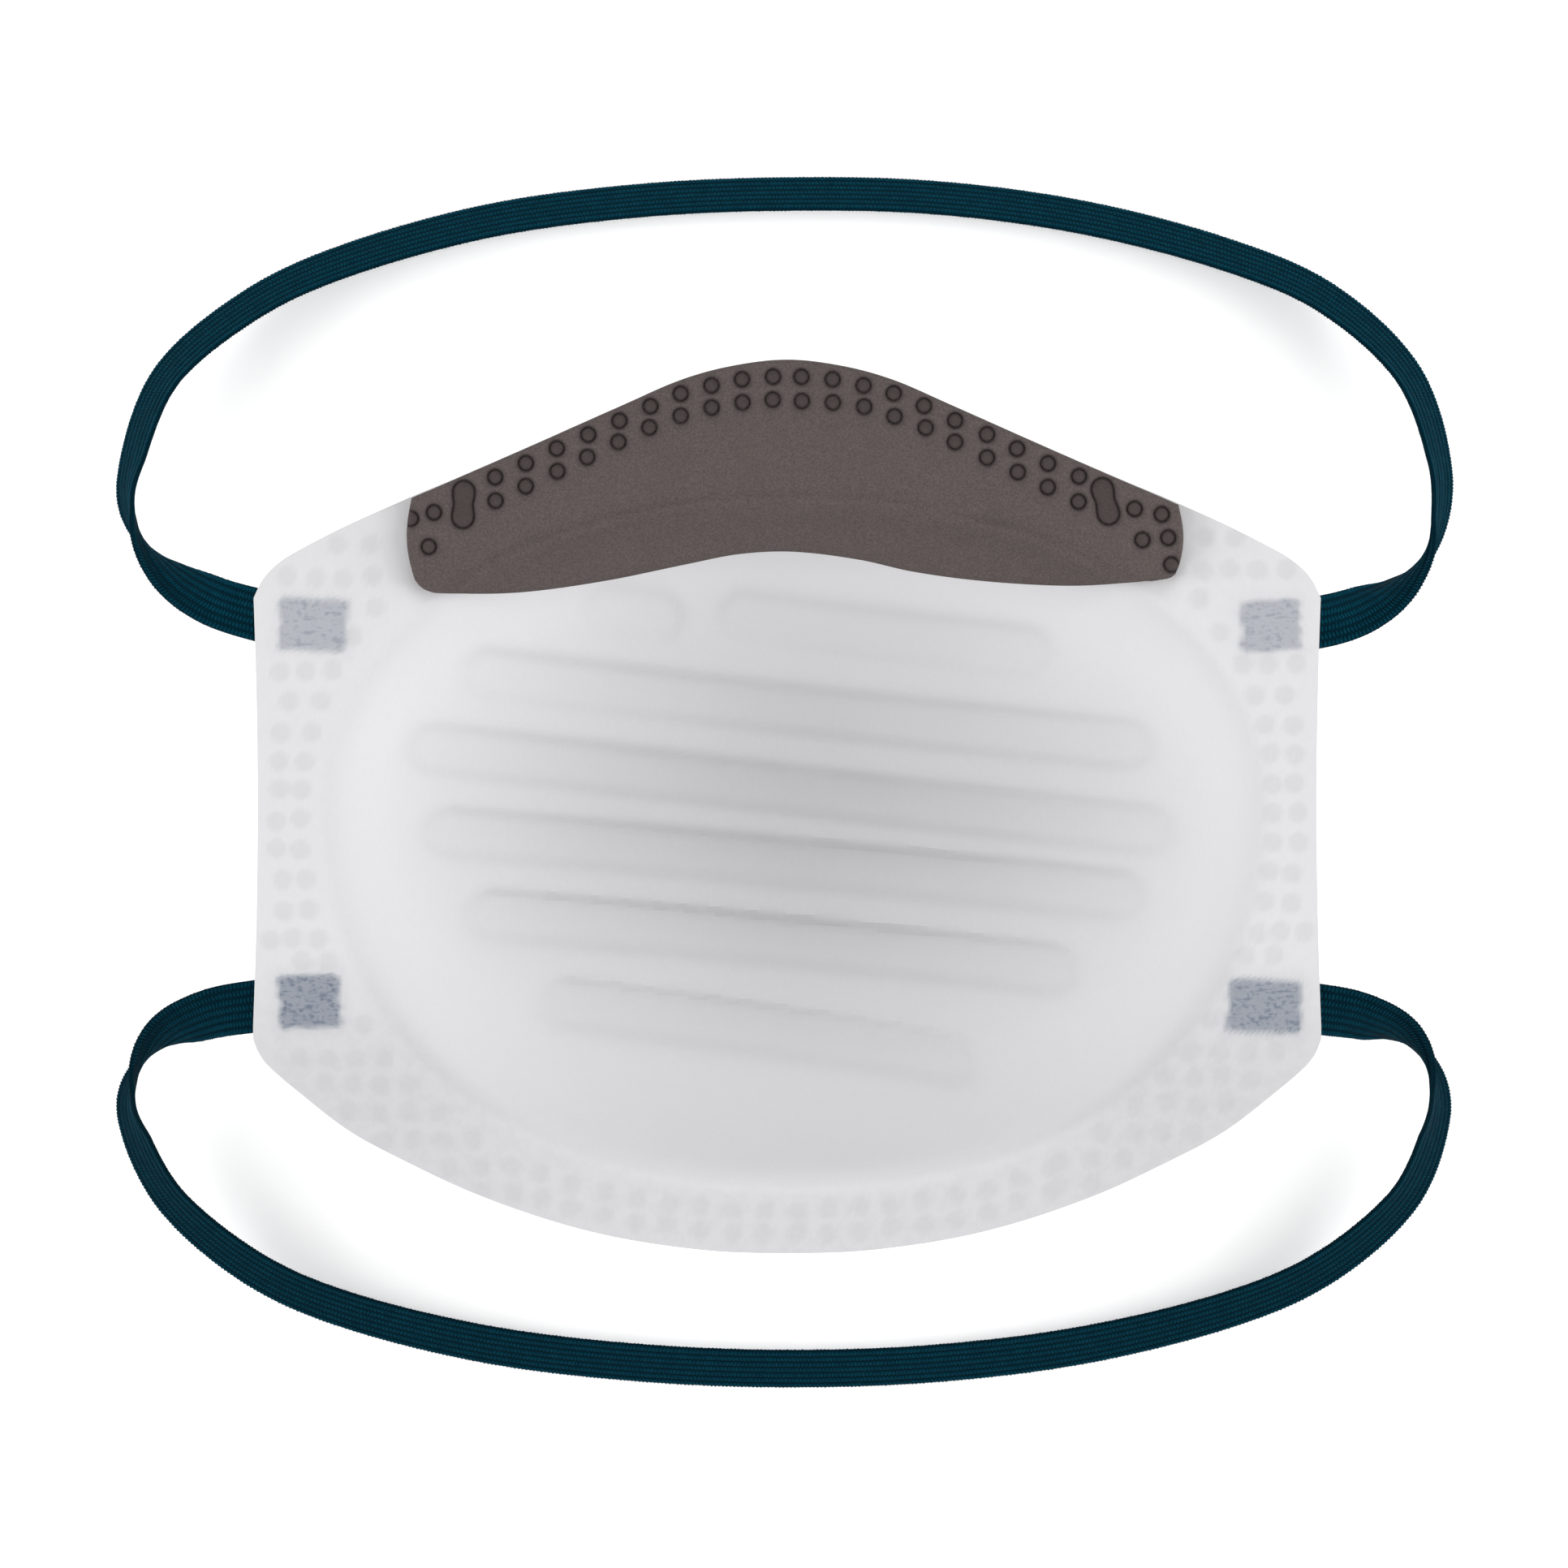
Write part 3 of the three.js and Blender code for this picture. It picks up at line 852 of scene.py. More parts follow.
@dataclass
class FilterShell:
    """The ribbed cup and its flat welded flange, one pressed wall."""

    form: CupForm
    place: Placement
    step: float = 0.68
    corner_start: float = 62.0
    corner_columns: int = 13
    length: float = 114.0
    # unevenness of the pressed wall, height and wave length, and how far from the outline it sets in
    warp: Row = (0.12, 34.0)
    cockle: Row = (0.03, 7.0)
    uneven_from: float = 3.0
    dot_radius: float = 1.3
    dot_depth: float = 0.09
    # weld dots of the left side, from the nose down: y, x of the outermost, how many, spacing
    dot_rows: tuple[tuple[float, float, int, float], ...] = (
        (33.2, -56.9, 2, 3.9), (29.1, -63.4, 4, 3.6), (25.3, -52.3, 1, 0.0), (21.4, -55.0, 1, 0.0),
        (17.2, -64.5, 3, 3.4), (13.3, -63.2, 2, 4.0), (9.4, -64.2, 2, 3.6), (5.7, -64.5, 2, 3.3),
        (2.1, -64.6, 2, 3.0), (-1.7, -64.7, 2, 2.9), (-5.5, -64.8, 2, 3.1), (-9.3, -64.0, 2, 2.8),
        (-13.1, -63.8, 2, 3.1), (-16.8, -65.6, 3, 3.0), (-19.7, -61.6, 2, 3.3), (-27.8, -53.9, 1, 0.0),
        (-32.0, -62.0, 4, 3.6), (-35.4, -58.9, 4, 3.65), (-38.8, -55.6, 4, 3.75), (-42.4, -51.4, 4, 3.8),
        (-45.9, -42.9, 3, 4.0), (-49.2, -38.8, 2, 4.1),
    )
    right_row_rise: float = 0.9
    chin_dot_insets: tuple[float, float] = (2.5, 5.5)
    chin_dot_pitch: float = 4.06
    chin_dot_shift: float = 1.1
    chin_dots_a_side: int = 8
    dot_scatter: float = 0.12
    pad_depth: float = 0.10
    pad_waist: float = 0.35
    pad_round: float = 0.8
    # where the strap ends show through: middle x, y, width, height, tilt in degrees, strength
    pads: tuple[Row, ...] = (
        (-60.2, 23.0, 8.9, 6.8, -3.0, 0.70),
        (61.4, 22.9, 7.8, 6.6, 3.0, 0.70),
        (-60.7, -24.8, 8.0, 6.9, 2.0, 1.0),
        (60.6, -25.4, 9.4, 6.8, -2.0, 0.95),
    )
    # faint creases from handling: x0, y0, x1, y1, half width, depth
    creases: tuple[Row, ...] = (
        (49.2, 23.5, 50.2, 10.5, 0.9, 0.16),
        (-44.0, 3.5, -43.0, -4.5, 0.8, 0.12),
        (-47.5, 2.0, -46.0, -6.0, 0.7, 0.10),
        (41.5, -10.0, 50.0, -12.5, 0.9, 0.14),
    )

    def _plan(self) -> tuple[Array, Array]:
        """Lays the sheet out as seen from above.

        Returns:
            x and y of columns of points that run from the chin to the nose.
        """
        half = self.corner_start
        middle = np.linspace(-half, half, int(2 * half / self.step) + 1)
        corner = np.linspace(half, self.form.side, self.corner_columns)[1:]
        across = np.concatenate([-corner[::-1], middle, corner])
        chin, nose = self.form.chin_edge(across), self.form.nose_edge(across)
        share = np.linspace(0, 1, int(self.length / self.step))
        y = chin[:, None] + (nose - chin)[:, None] * share[None, :]
        bow = self.form.side_bow * (1 - np.clip(np.abs(y) / self.form.side_half_height, 0, 1) ** 2)
        return across[:, None] * (1 - bow / self.form.side), y

    def _dot_centres(self) -> Array:
        """Places the weld dots: the rows of both sides and the pairs along the chin.

        Returns:
            Rows of x, y.
        """
        rng = np.random.default_rng(SEED)
        centres = [(x + k * pitch, y) for y, x, count, pitch in self.dot_rows for k in range(count)]
        centres += [(-x, y + self.right_row_rise) for x, y in centres]
        for k in range(-self.chin_dots_a_side, self.chin_dots_a_side + 1):
            x = k * self.chin_dot_pitch + self.chin_dot_shift
            edge = float(self.form.chin_edge(np.array([x]))[0])
            centres += [(x, edge + inset) for inset in self.chin_dot_insets]
        return np.array(centres) + rng.normal(0, self.dot_scatter, (len(centres), 2))

    def _dots(self, x: Array, y: Array) -> Array:
        """1 in the weld dots, 0 between them."""
        gap = nearest_gap(x, y, self._dot_centres()) + 0.12 * ripple(x, y, 1.7, SEED + 2)
        return 1 - smooth(self.dot_radius - 0.35, self.dot_radius + 0.3, gap)

    def _pad_mask(self, x: Array, y: Array) -> Array:
        """Works out where the strap ends show.

        Args:
            x: The points' x.
            y: The points' y.

        Returns:
            1 where a strap end shows darkest behind the flange.
        """
        mask = np.zeros(x.shape)
        for k, (cx, cy, width, height, tilt, strength) in enumerate(self.pads):
            u, v = turned_back(x, y, cx, cy, tilt)
            u = u + 0.3 * ripple(x, y, 2.4, SEED + k)
            v = v + 0.2 * ripple(x, y, 3.1, SEED + 9 + k)
            waist = self.pad_waist * np.exp(-((v / 0.6) ** 2))
            across = np.abs(u) - width / 2 + waist + self.pad_round
            along = np.abs(v) - height / 2 + self.pad_round
            corner = np.hypot(np.maximum(across, 0), np.maximum(along, 0))
            outside = corner + np.minimum(np.maximum(across, along), 0)
            solid = 1 - smooth(0.3, 1.25, outside)
            halo = 0.1 * (1 - smooth(0.0, 2.2, outside - self.pad_round))
            mask = np.maximum(mask, strength * np.maximum(solid, halo))
        return mask

    def _crease_depth(self, x: Array, y: Array) -> Array:
        """Works out the depth of the faint creases.

        Args:
            x: The points' x.
            y: The points' y.

        Returns:
            The depth at each point.
        """
        depth = np.zeros(x.shape)
        for *ends, half, deep in self.creases:
            length, along, side = beside_line(x, y, ends)
            side = side + 0.4 * np.sin(along * 0.8)
            fade = smooth(0, length * 0.3, along) * (1 - smooth(length * 0.7, length, along))
            depth += deep * fade * np.exp(-((side / half) ** 2))
        return depth

    def _flange_grey_and_shade(self, x: Array, y: Array) -> Array:
        """Works out the welded flange's grey and the shade painted on it.

        Args:
            x: The points' x.
            y: The points' y.

        Returns:
            0 in the cup, more in the flange, most at the chin and in the lower corners, where painted shade
            is added.
        """
        corner = smooth(26, 50, np.abs(x)) * smooth(-18, -32, y)
        # painted shade: more towards the chin and in the lower corners
        pressed = 1.6 + 2.6 * smooth(-14, -38, y) + 0.9 * corner
        return smooth(0.96, 1.03, self.form.cup_radius(x, y)) * pressed

    def build(self, material: bpy.types.Material) -> None:
        """Builds the wall with its relief and hands it over.

        Args:
            material: The felt.
        """
        form = self.form
        x, y = self._plan()
        dots, pads = self._dots(x, y), self._pad_mask(x, y)
        normal = field_normals(form.face_side, x, y)
        lift = np.zeros(x.shape)
        for k, (size, wave) in enumerate((self.warp, self.cockle)):
            lift += size * ripple(x, y, wave, SEED + k)
        for to_edge in (form.nose_edge(x) - y, y - form.chin_edge(x), form.side - np.abs(x)):
            lift *= smooth(0, self.uneven_from, to_edge)
        face = np.stack([x, y, form.face_side(x, y)], -1)
        outer = face - normal * (form.wall(x, y) - self.dot_depth * dots)[..., None]
        outer[..., 2] = np.maximum(outer[..., 2] + lift, 0.0)
        sunk = self.dot_depth * dots + self.pad_depth * pads + self._crease_depth(x, y)
        face = face - normal * sunk[..., None]
        face[..., 2] += lift
        piece = sheet_object("shell_felt", face, outer, self.place, 50)
        add_values(piece, "pads", pads, np.zeros(pads.shape))
        # flange holds the felt's grey plus painted shade towards the chin; the last values are painted shade
        # in the channels
        shades = {"dots": dots, "flange": self._flange_grey_and_shade(x, y), "channel_shade": form.painted_rib_shade(x, y)}
        for name, shade in shades.items():
            add_values(piece, name, shade, shade)
        hand_over(piece, "filter_shell", material)


@dataclass
class NoseFoam:
    """The foam strip, pressed down in two rows of dots and at the clip's two ends."""

    form: CupForm
    place: Placement
    gap: float = 0.35
    thickness: float = 2.8
    from_edge: float = 0.3
    edge_round: float = 0.55
    columns: int = 601
    rows: int = 121
    under_skip: int = 4
    dot_radius: float = 0.985
    dot_start: float = 1.85
    dot_pitch: float = 3.9
    dots_a_side: int = 10
    dot_scatter: float = 0.06
    # how far the two rows lie from the nose edge: x, distance
    dot_insets: tuple[tuple[Row, ...], ...] = (
        ((0, 2.5), (17, 2.0), (37, 2.3)),
        ((0, 5.5), (17, 4.75), (37, 5.4)),
    )
    disc_depth: float = 0.24
    dome_rise: float = 0.14
    groove_depth: float = 0.34
    groove_width: float = 0.17
    pillow_depth: float = 0.25
    pillow_reach: float = 0.8
    gap_reach: float = 2.0
    bend_reach: float = 1.6
    valley_half: float = 0.95
    valley_depth: float = 0.42
    end_thinning: float = 1.3
    end_reach: float = 6.5
    left: float = -47.6
    right: float = 49.6
    side_bulge: float = 0.55
    left_corner: float = 3.3
    right_corner: float = 1.6
    # the edge that hangs in the cup, left to right: x, y
    free_edge: tuple[Row, ...] = (
        (-48.4, 27.2), (-42, 26.9), (-33.4, 27.2), (-23.1, 28.7), (-12.9, 30.8), (-6.1, 32.1), (0.8, 32.4),
        (9.2, 31.4), (16, 29.9), (24.6, 28.7), (34.8, 28), (42.3, 28.2), (50.4, 29.1),
    )
    # single dots outside the clip: x, y
    outer_dots: tuple[Row, ...] = (
        (-44.8, 37.2), (-45.4, 32.8), (-47.7, 36.4), (44.0, 37.7), (47.4, 37.0), (44.9, 33.7), (48.3, 34.0),
        (48.6, 30.6),
    )
    # stakes over the clip's ends: x, y, lean in degrees
    stakes: tuple[Row, ...] = ((-41.0, 38.2, -2.0), (40.3, 38.6, 14.0))
    stake_half: float = 1.6
    stake_radius: float = 1.45
    # the line along which the strip bends into the cup: x, y
    bend: tuple[Row, ...] = (
        (-38, 29.4), (-26.6, 33.6), (-12.9, 36.9), (-6, 38), (3, 38.4), (9.2, 37.9), (24, 36.6),
    )

    def _dot_centres(self) -> Array:
        """Places the pressed dots: the single ones and the two rows that follow the nose edge.

        Returns:
            Rows of x, y.
        """
        rng = np.random.default_rng(SEED + 3)
        centres = list(self.outer_dots)
        x = self.dot_start + self.dot_pitch * np.arange(self.dots_a_side)
        for insets in self.dot_insets:
            y = self.form.nose_edge(x) - curve_through(insets, x)
            centres += [*zip(x, y), *zip(-x, y)]
        return np.array(centres) + rng.normal(0, self.dot_scatter, (len(centres), 2))

    def _dot_gap(self, x: Array, y: Array) -> Array:
        """Measures how far the points are from the nearest dot or stake.

        Args:
            x: The points' x.
            y: The points' y.

        Returns:
            Distance from its rim, below 0 inside it and gap_reach at most.
        """
        gap = nearest_gap(x, y, self._dot_centres()) - self.dot_radius
        for cx, cy, lean in self.stakes:
            u, v = turned_back(x, y, cx, cy, lean)
            waist = 0.18 * np.exp(-((v / 0.8) ** 2))
            reach = np.hypot(u, np.maximum(np.abs(v) - self.stake_half, 0))
            gap = np.minimum(gap, reach - self.stake_radius + waist)
        return np.minimum(gap, self.gap_reach)

    def _press_depth(self, gap: Array) -> Array:
        """Works out the depth round the pressed spots.

        Args:
            gap: Distance from the nearest rim, below 0 inside it.

        Returns:
            A sunk disc with a domed middle, a groove along its rim and a soft pillow beyond.
        """
        disc = self.disc_depth * (1 - smooth(-0.1, 0.2, gap)) - self.dome_rise * smooth(-0.1, -0.9, gap)
        groove = self.groove_depth * np.exp(-((gap / self.groove_width) ** 2))
        return disc + groove + self.pillow_depth * np.exp(-((np.maximum(gap, 0) / self.pillow_reach) ** 2))

    def _bend_depth(self, x: Array, y: Array) -> Array:
        """Depth of the soft valley along the bend."""
        away = (y - curve_through(self.bend, x)) / self.valley_half
        return self.valley_depth * smooth(-44, -30, x) * (1 - smooth(20, 36, x)) * np.exp(-(away**2))

    def _lower_edge(self, x: Array, left: Array, right: Array) -> Array:
        """The free edge with its two rounded corners."""
        corners = rounded(x - left, self.left_corner) + rounded(right - x, self.right_corner)
        return curve_through(self.free_edge, x) + corners

    def _plan(self) -> tuple[Array, Array, Array]:
        """Lays the strip out as seen from above, its points closer together towards the nose edge.

        Returns:
            x and y of columns of points from the free edge to the nose edge, and their distance from the
            outline.
        """
        even_t, even_v = np.linspace(0, 1, self.columns), np.linspace(0, 1, self.rows)
        crowded_t = even_t - 0.035 * np.sin(2 * math.pi * even_t)
        crowded_v = 1 - 0.55 * (1 - even_v) - 0.45 * (1 - even_v) ** 3
        crowded_v = 0.85 * crowded_v + 0.15 * smooth(0.0, 1.0, crowded_v)
        t, v = np.meshgrid(crowded_t, crowded_v, indexing="ij")
        bulge = self.side_bulge * 4 * v * (1 - v)
        left, right = self.left - bulge, self.right + bulge
        x = left + (right - left) * t
        low, high = self._lower_edge(x, left, right), self.form.nose_edge(x) - self.from_edge
        y = low + (high - low) * v
        return x, y, np.minimum(np.minimum(x - left, right - x), np.minimum(y - low, high - y))

    def build(self, material: bpy.types.Material) -> None:
        """Builds the strip and hands it over.

        Args:
            material: The foam.
        """
        x, y, to_edge = self._plan()
        normal = field_normals(self.form.foam_bed, x, y, self.bend_reach)
        gap = self._dot_gap(x, y)
        to_end = np.minimum(x - self.left, self.right - x)
        thinned = self.end_thinning * (1 - smooth(-0.5, self.end_reach, to_end))
        swell = 0.10 * ripple(x, y, 9.0, SEED + 5) + 0.05 * ripple(x, y, 3.0, SEED + 6)
        sunk = rounded(to_edge, self.edge_round) + thinned + self._press_depth(gap) + self._bend_depth(x, y)
        sunk = sunk - swell * np.clip(to_edge / self.edge_round, 0, 1)
        full = self.form.foam_bed(x, y) + (self.gap + self.thickness) / normal[..., 2]
        upper = np.stack([x, y, full - sunk], -1)
        lower = np.stack([x, y, full], -1) - normal * self.thickness
        lower = lower[:: self.under_skip, :: self.under_skip]
        piece = sheet_object("nose_foam_strip", upper, lower, self.place, 60, self.under_skip)
        add_values(piece, "gap", gap, np.full(lower.shape[:2], self.gap_reach))
        hand_over(piece, "nose_foam", material)


@dataclass
class NoseClip:
    """The bendable metal strip on the flange's outer side."""

    form: CupForm
    place: Placement
    half_length: float = 44.0
    width: float = 5.0
    thickness: float = 0.9
    from_edge: float = 4.0
    gap: float = 0.35
    corner: float = 1.2
    edge_round: float = 0.25
    columns: int = 180
    rows: int = 15

    def _underside(self, x: Array, y: Array) -> Array:
        """Height of the flange's outer side."""
        return self.form.flange_height(y) - self.form.flange_wall + 0 * x

    def build(self, material: bpy.types.Material) -> None:
        """Builds the strip with rounded corners and hands it over.

        Args:
            material: The metal.
        """
        t = np.linspace(-1, 1, self.columns)
        along = np.sign(t) * (1 - (1 - np.abs(t)) ** 1.15) * self.half_length
        lean = np.arctan((self.form.nose_edge(along + 1) - self.form.nose_edge(along - 1)) / 2)
        to_end = self.half_length - np.abs(along)
        half = (self.width / 2 - rounded(to_end, self.corner))[:, None]
        t = np.linspace(-1, 1, self.rows)
        across = np.sign(t) * np.abs(t) ** 0.7
        inward = self.from_edge - half * across
        x = along[:, None] + np.sin(lean)[:, None] * inward
        y = self.form.nose_edge(along)[:, None] - np.cos(lean)[:, None] * inward
        normal = field_normals(self._underside, x, y)
        base = np.stack([x, y, self._underside(x, y)], -1)
        drop = rounded(np.minimum(half * (1 - np.abs(across)), to_end[:, None]), self.edge_round)
        upper = base - normal * (self.gap + drop)[..., None]
        lower = base - normal * (self.gap + self.thickness - drop)[..., None]
        piece = sheet_object("nose_clip_strip", upper, lower, self.place, 50)
        hand_over(piece, "nose_clip", material)


class StitchMaker:
    """Geometry Nodes tree that lays one small yarn loop on each point of a mesh."""

    inputs = (("Stitch length", 0.95), ("Stitch width", 0.56), ("Stitch height", 0.17))
    least_size = 0.9
    most_size = 1.08

    def __init__(self) -> None:
        """Builds the tree."""
        self.group = bpy.data.node_groups.new("knit_stitches", "GeometryNodeTree")
        face = self.group.interface
        face.new_socket("Geometry", in_out="INPUT", socket_type="NodeSocketGeometry")
        for label, default in self.inputs:
            socket = face.new_socket(label, in_out="INPUT", socket_type="NodeSocketFloat")
            socket.default_value = default
        face.new_socket("Yarn", in_out="INPUT", socket_type="NodeSocketMaterial")
        face.new_socket("Geometry", in_out="OUTPUT", socket_type="NodeSocketGeometry")
        self._wire(Tree(self.group))

    def _wire(self, tree: Tree) -> None:
        """Joins the nodes from the points to the realized loops.

        Args:
            tree: The group's tree.
        """
        named = {}
        for name, kind in (("out", "FLOAT_VECTOR"), ("across", "FLOAT_VECTOR"), ("full", "FLOAT")):
            node = tree.node("GeometryNodeInputNamedAttribute", {"Name": name}, data_type=kind)
            named[name] = node.outputs["Attribute"]
        given = tree.node("NodeGroupInput").outputs
        facing = {0: named["out"], 1: named["across"]}
        turned = tree.node("FunctionNodeAxesToRotation", facing, primary_axis="Z", secondary_axis="X")
        limits = {"Min": self.least_size, "Max": self.most_size, "Seed": SEED}
        jitter = tree.node("FunctionNodeRandomValue", limits, data_type="FLOAT")
        random_size = next(s for s in jitter.outputs if s.enabled)
        sizes = {}
        for k, ((label, _), share) in enumerate(zip(self.inputs, (random_size, random_size, named["full"]))):
            sizes[k] = tree.math("MULTIPLY", tree.math("MULTIPLY", given[label], MM), share)
        loop = tree.node("GeometryNodeMeshIcoSphere", {"Radius": 0.5, "Subdivisions": 1})
        laid = {
            "Points": given["Geometry"],
            "Instance": loop.outputs["Mesh"],
            "Rotation": turned.outputs[0],
            "Scale": tree.node("ShaderNodeCombineXYZ", sizes).outputs[0],
        }
        made = tree.node("GeometryNodeInstanceOnPoints", laid).outputs["Instances"]
        for kind in ("GeometryNodeRealizeInstances", "GeometryNodeSetShadeSmooth"):
            made = tree.node(kind, {"Geometry": made}).outputs["Geometry"]
        dressed = tree.node("GeometryNodeSetMaterial", {"Geometry": made, "Material": given["Yarn"]})
        tree.node("NodeGroupOutput", {"Geometry": dressed.outputs["Geometry"]})

    def run(self, points: bpy.types.Object, yarn: bpy.types.Material) -> tuple[Array, list[list[int]]]:
        """Runs the tree on a mesh of points and removes both it and them.

        Args:
            points: A mesh with out, across and full attributes.
            yarn: The loops' material.

        Returns:
            Points and faces of all the loops.
        """
        modifier = points.modifiers.new("stitches", "NODES")
        modifier.node_group = self.group
        for socket in self.group.interface.items_tree:
            if socket.in_out == "INPUT" and socket.name == "Yarn":
                modifier[socket.identifier] = yarn
        graph = bpy.context.evaluated_depsgraph_get()
        mesh = bpy.data.meshes.new_from_object(points.evaluated_get(graph))
        points.modifiers.remove(modifier)
        bpy.data.objects.remove(points)
        place = np.empty(len(mesh.vertices) * 3, np.float32)
        mesh.vertices.foreach_get("co", place)
        faces = [list(p.vertices) for p in mesh.polygons]
        bpy.data.meshes.remove(mesh)
        return place.reshape(-1, 3), faces


class StrapSide(Enum):
    """Which of the two straps."""

    UPPER = "upper_strap"
    LOWER = "lower_strap"


@dataclass
class HeadStrap:
    """A flat knitted elastic along its lying route, with lengthwise wales and a stitch on every course."""

    side: StrapSide
    route: tuple[Row, ...]
    place: Placement
    width: float = 6.8
    half_thickness: float = 0.30
    wales: int = 7
    wale_rise: float = 0.06
    course: float = 0.50
    band_step: float = 1.0
    ring_points: int = 40
    weld_length: float = 9.5
    samples_a_row: int = 60
    # how thin the weld presses the band, and how small the stitches there
    weld_press: float = 0.35
    weld_fullness: float = 0.4
    # how the band's cross section rounds off at its two edges
    edge_inset: float = 0.04
    edge_power: float = 0.8
    edge_steepness: float = 3.0
    # stitches: slants of the two kinds of wale in degrees, their scatter, the faint kind's fullness, how
    # deep they sit in the band
    slants: Row = (14.0, -9.0)
    slant_scatter: float = 0.05
    faint_wale: float = 0.78
    stitch_sink: float = 0.02

    def _frames(self, step: float) -> tuple[Array, Array, Array, Array]:
        """Even samples of the route.

        Args:
            step: Distance between samples.

        Returns:
            Places, across directions, through directions and distances along the route.
        """
        rows = np.array(self.route, float)
        last = len(rows) - 1
        t = np.linspace(0, last, last * self.samples_a_row + 1)
        i = np.minimum(t.astype(int), last - 1)
        f = (t - i)[:, None]
        a, b = rows[np.maximum(i - 1, 0)], rows[i]
        c, d = rows[i + 1], rows[np.minimum(i + 2, last)]
        second, third = 2 * a - 5 * b + 4 * c - d, 3 * b - a - 3 * c + d
        line = 0.5 * (2 * b + (c - a) * f + second * f**2 + third * f**3)
        along = np.concatenate([[0], np.cumsum(np.linalg.norm(np.diff(line[:, :3], axis=0), axis=1))])
        at = np.linspace(0, along[-1], int(along[-1] / step) + 1)
        even = np.stack([np.interp(at, along, line[:, k]) for k in range(4)], 1)
        forward = np.gradient(even[:, :3], axis=0)
        forward /= np.linalg.norm(forward, axis=1)[:, None]
        left = np.cross([0.0, 0.0, 1.0], forward)
        left /= np.linalg.norm(left, axis=1)[:, None]
        lifted = np.cross(forward, left)
        roll = np.radians(even[:, 3])[:, None]
        across = np.cos(roll) * left + np.sin(roll) * lifted
        return even[:, :3], across, np.cross(forward, across), at

    def _pressed(self, at: Array) -> Array:
        """1 along the free band, down to a third where the ends are welded."""
        free = smooth(self.weld_length - 2, self.weld_length + 1, np.minimum(at, at.max() - at))
        return self.weld_press + (1 - self.weld_press) * free

    def _band(self) -> tuple[Array, list[list[int]]]:
        """Builds the dark band under the stitches, a closed tube with wales.

        Returns:
            Its points and faces.
        """
        place, across, through, at = self._frames(self.band_step)
        turn = np.linspace(0, 2 * math.pi, self.ring_points, endpoint=False)
        w = np.cos(turn)
        w = np.sign(w) * np.abs(w) ** self.edge_power * (self.width / 2 - self.edge_inset)
        wave = np.abs(np.sin(math.pi * self.wales * (w / self.width + 0.5)))
        rise = self.half_thickness - self.wale_rise + self.wale_rise * wave
        steep = np.minimum(np.abs(np.sin(turn)) * self.edge_steepness, 1.0)
        h = np.sign(np.sin(turn)) * steep * rise
        press = self._pressed(at)[:, None, None]
        middle = place[:, None] + across[:, None] * w[None, :, None]
        rings = middle + through[:, None] * h[None, :, None] * press
        number = np.arange(rings.size // 3).reshape(-1, self.ring_points)
        after = np.roll(number, -1, 1)
        sides = np.stack([number[:-1], number[1:], after[1:], after[:-1]], -1).reshape(-1, 4)[:, ::-1]
        caps = [number[0].tolist(), number[-1, ::-1].tolist()]
        return rings.reshape(-1, 3), sides.tolist() + caps

    def _stitch_points(self) -> tuple[Array, Array, Array, Array]:
        """Places the stitches on both faces.

        Returns:
            Places, outward and across directions and fullness of every stitch.
        """
        place, across, through, at = self._frames(self.course)
        forward = np.cross(across, through)
        rng = np.random.default_rng(SEED + (self.side is StrapSide.LOWER))
        pitch = self.width / self.wales
        press = self._pressed(at)
        fullness = self.weld_fullness + (1 - self.weld_fullness) * press
        height = (self.half_thickness * press - self.stitch_sink)[:, None]
        groups: list[tuple[Array, Array, Array, Array]] = []
        for face in (1.0, -1.0):
            for wale in range(self.wales):
                bold = wale % 2 == 0
                w = (wale - (self.wales - 1) / 2) * pitch
                slant = math.radians(self.slants[0] if bold == (face > 0) else self.slants[1])
                lean = slant + rng.normal(0, self.slant_scatter, len(at))[:, None]
                direction = across * np.cos(lean) + forward * np.sin(lean)
                half_course = 0.0 if bold else 0.5 * self.course
                spot = place + across * w + through * face * height + forward * half_course
                share = 1.0 if bold else self.faint_wale
                groups.append((spot, through * face, direction, share * fullness))
        return tuple(np.concatenate([g[k] for g in groups]) for k in range(4))

    def build(self, material: bpy.types.Material, maker: StitchMaker) -> None:
        """Builds the band, lays the stitches on it, joins them and hands the strap over.

        Args:
            material: The elastic.
            maker: What lays the stitches.
        """
        band, sides = self._band()
        spots, out, across, full = self._stitch_points()
        seeds = mesh_object("stitch_points", self.place.metres(spots), [])
        add_values(seeds, "out", out, kind="FLOAT_VECTOR")
        add_values(seeds, "across", across, kind="FLOAT_VECTOR")
        add_values(seeds, "full", full)
        loops, loop_faces = maker.run(seeds, material)
        points = np.concatenate([self.place.metres(band), loops])
        points[:, 2] = np.maximum(points[:, 2], 0.0)
        faces = sides + [[v + len(band) for v in face] for face in loop_faces]
        piece = mesh_object(f"{self.side.value}_knit", points, faces)
        add_values(piece, "stitch", np.zeros(len(band)), np.ones(len(loops)))
        hand_over(piece, self.side.value, material)


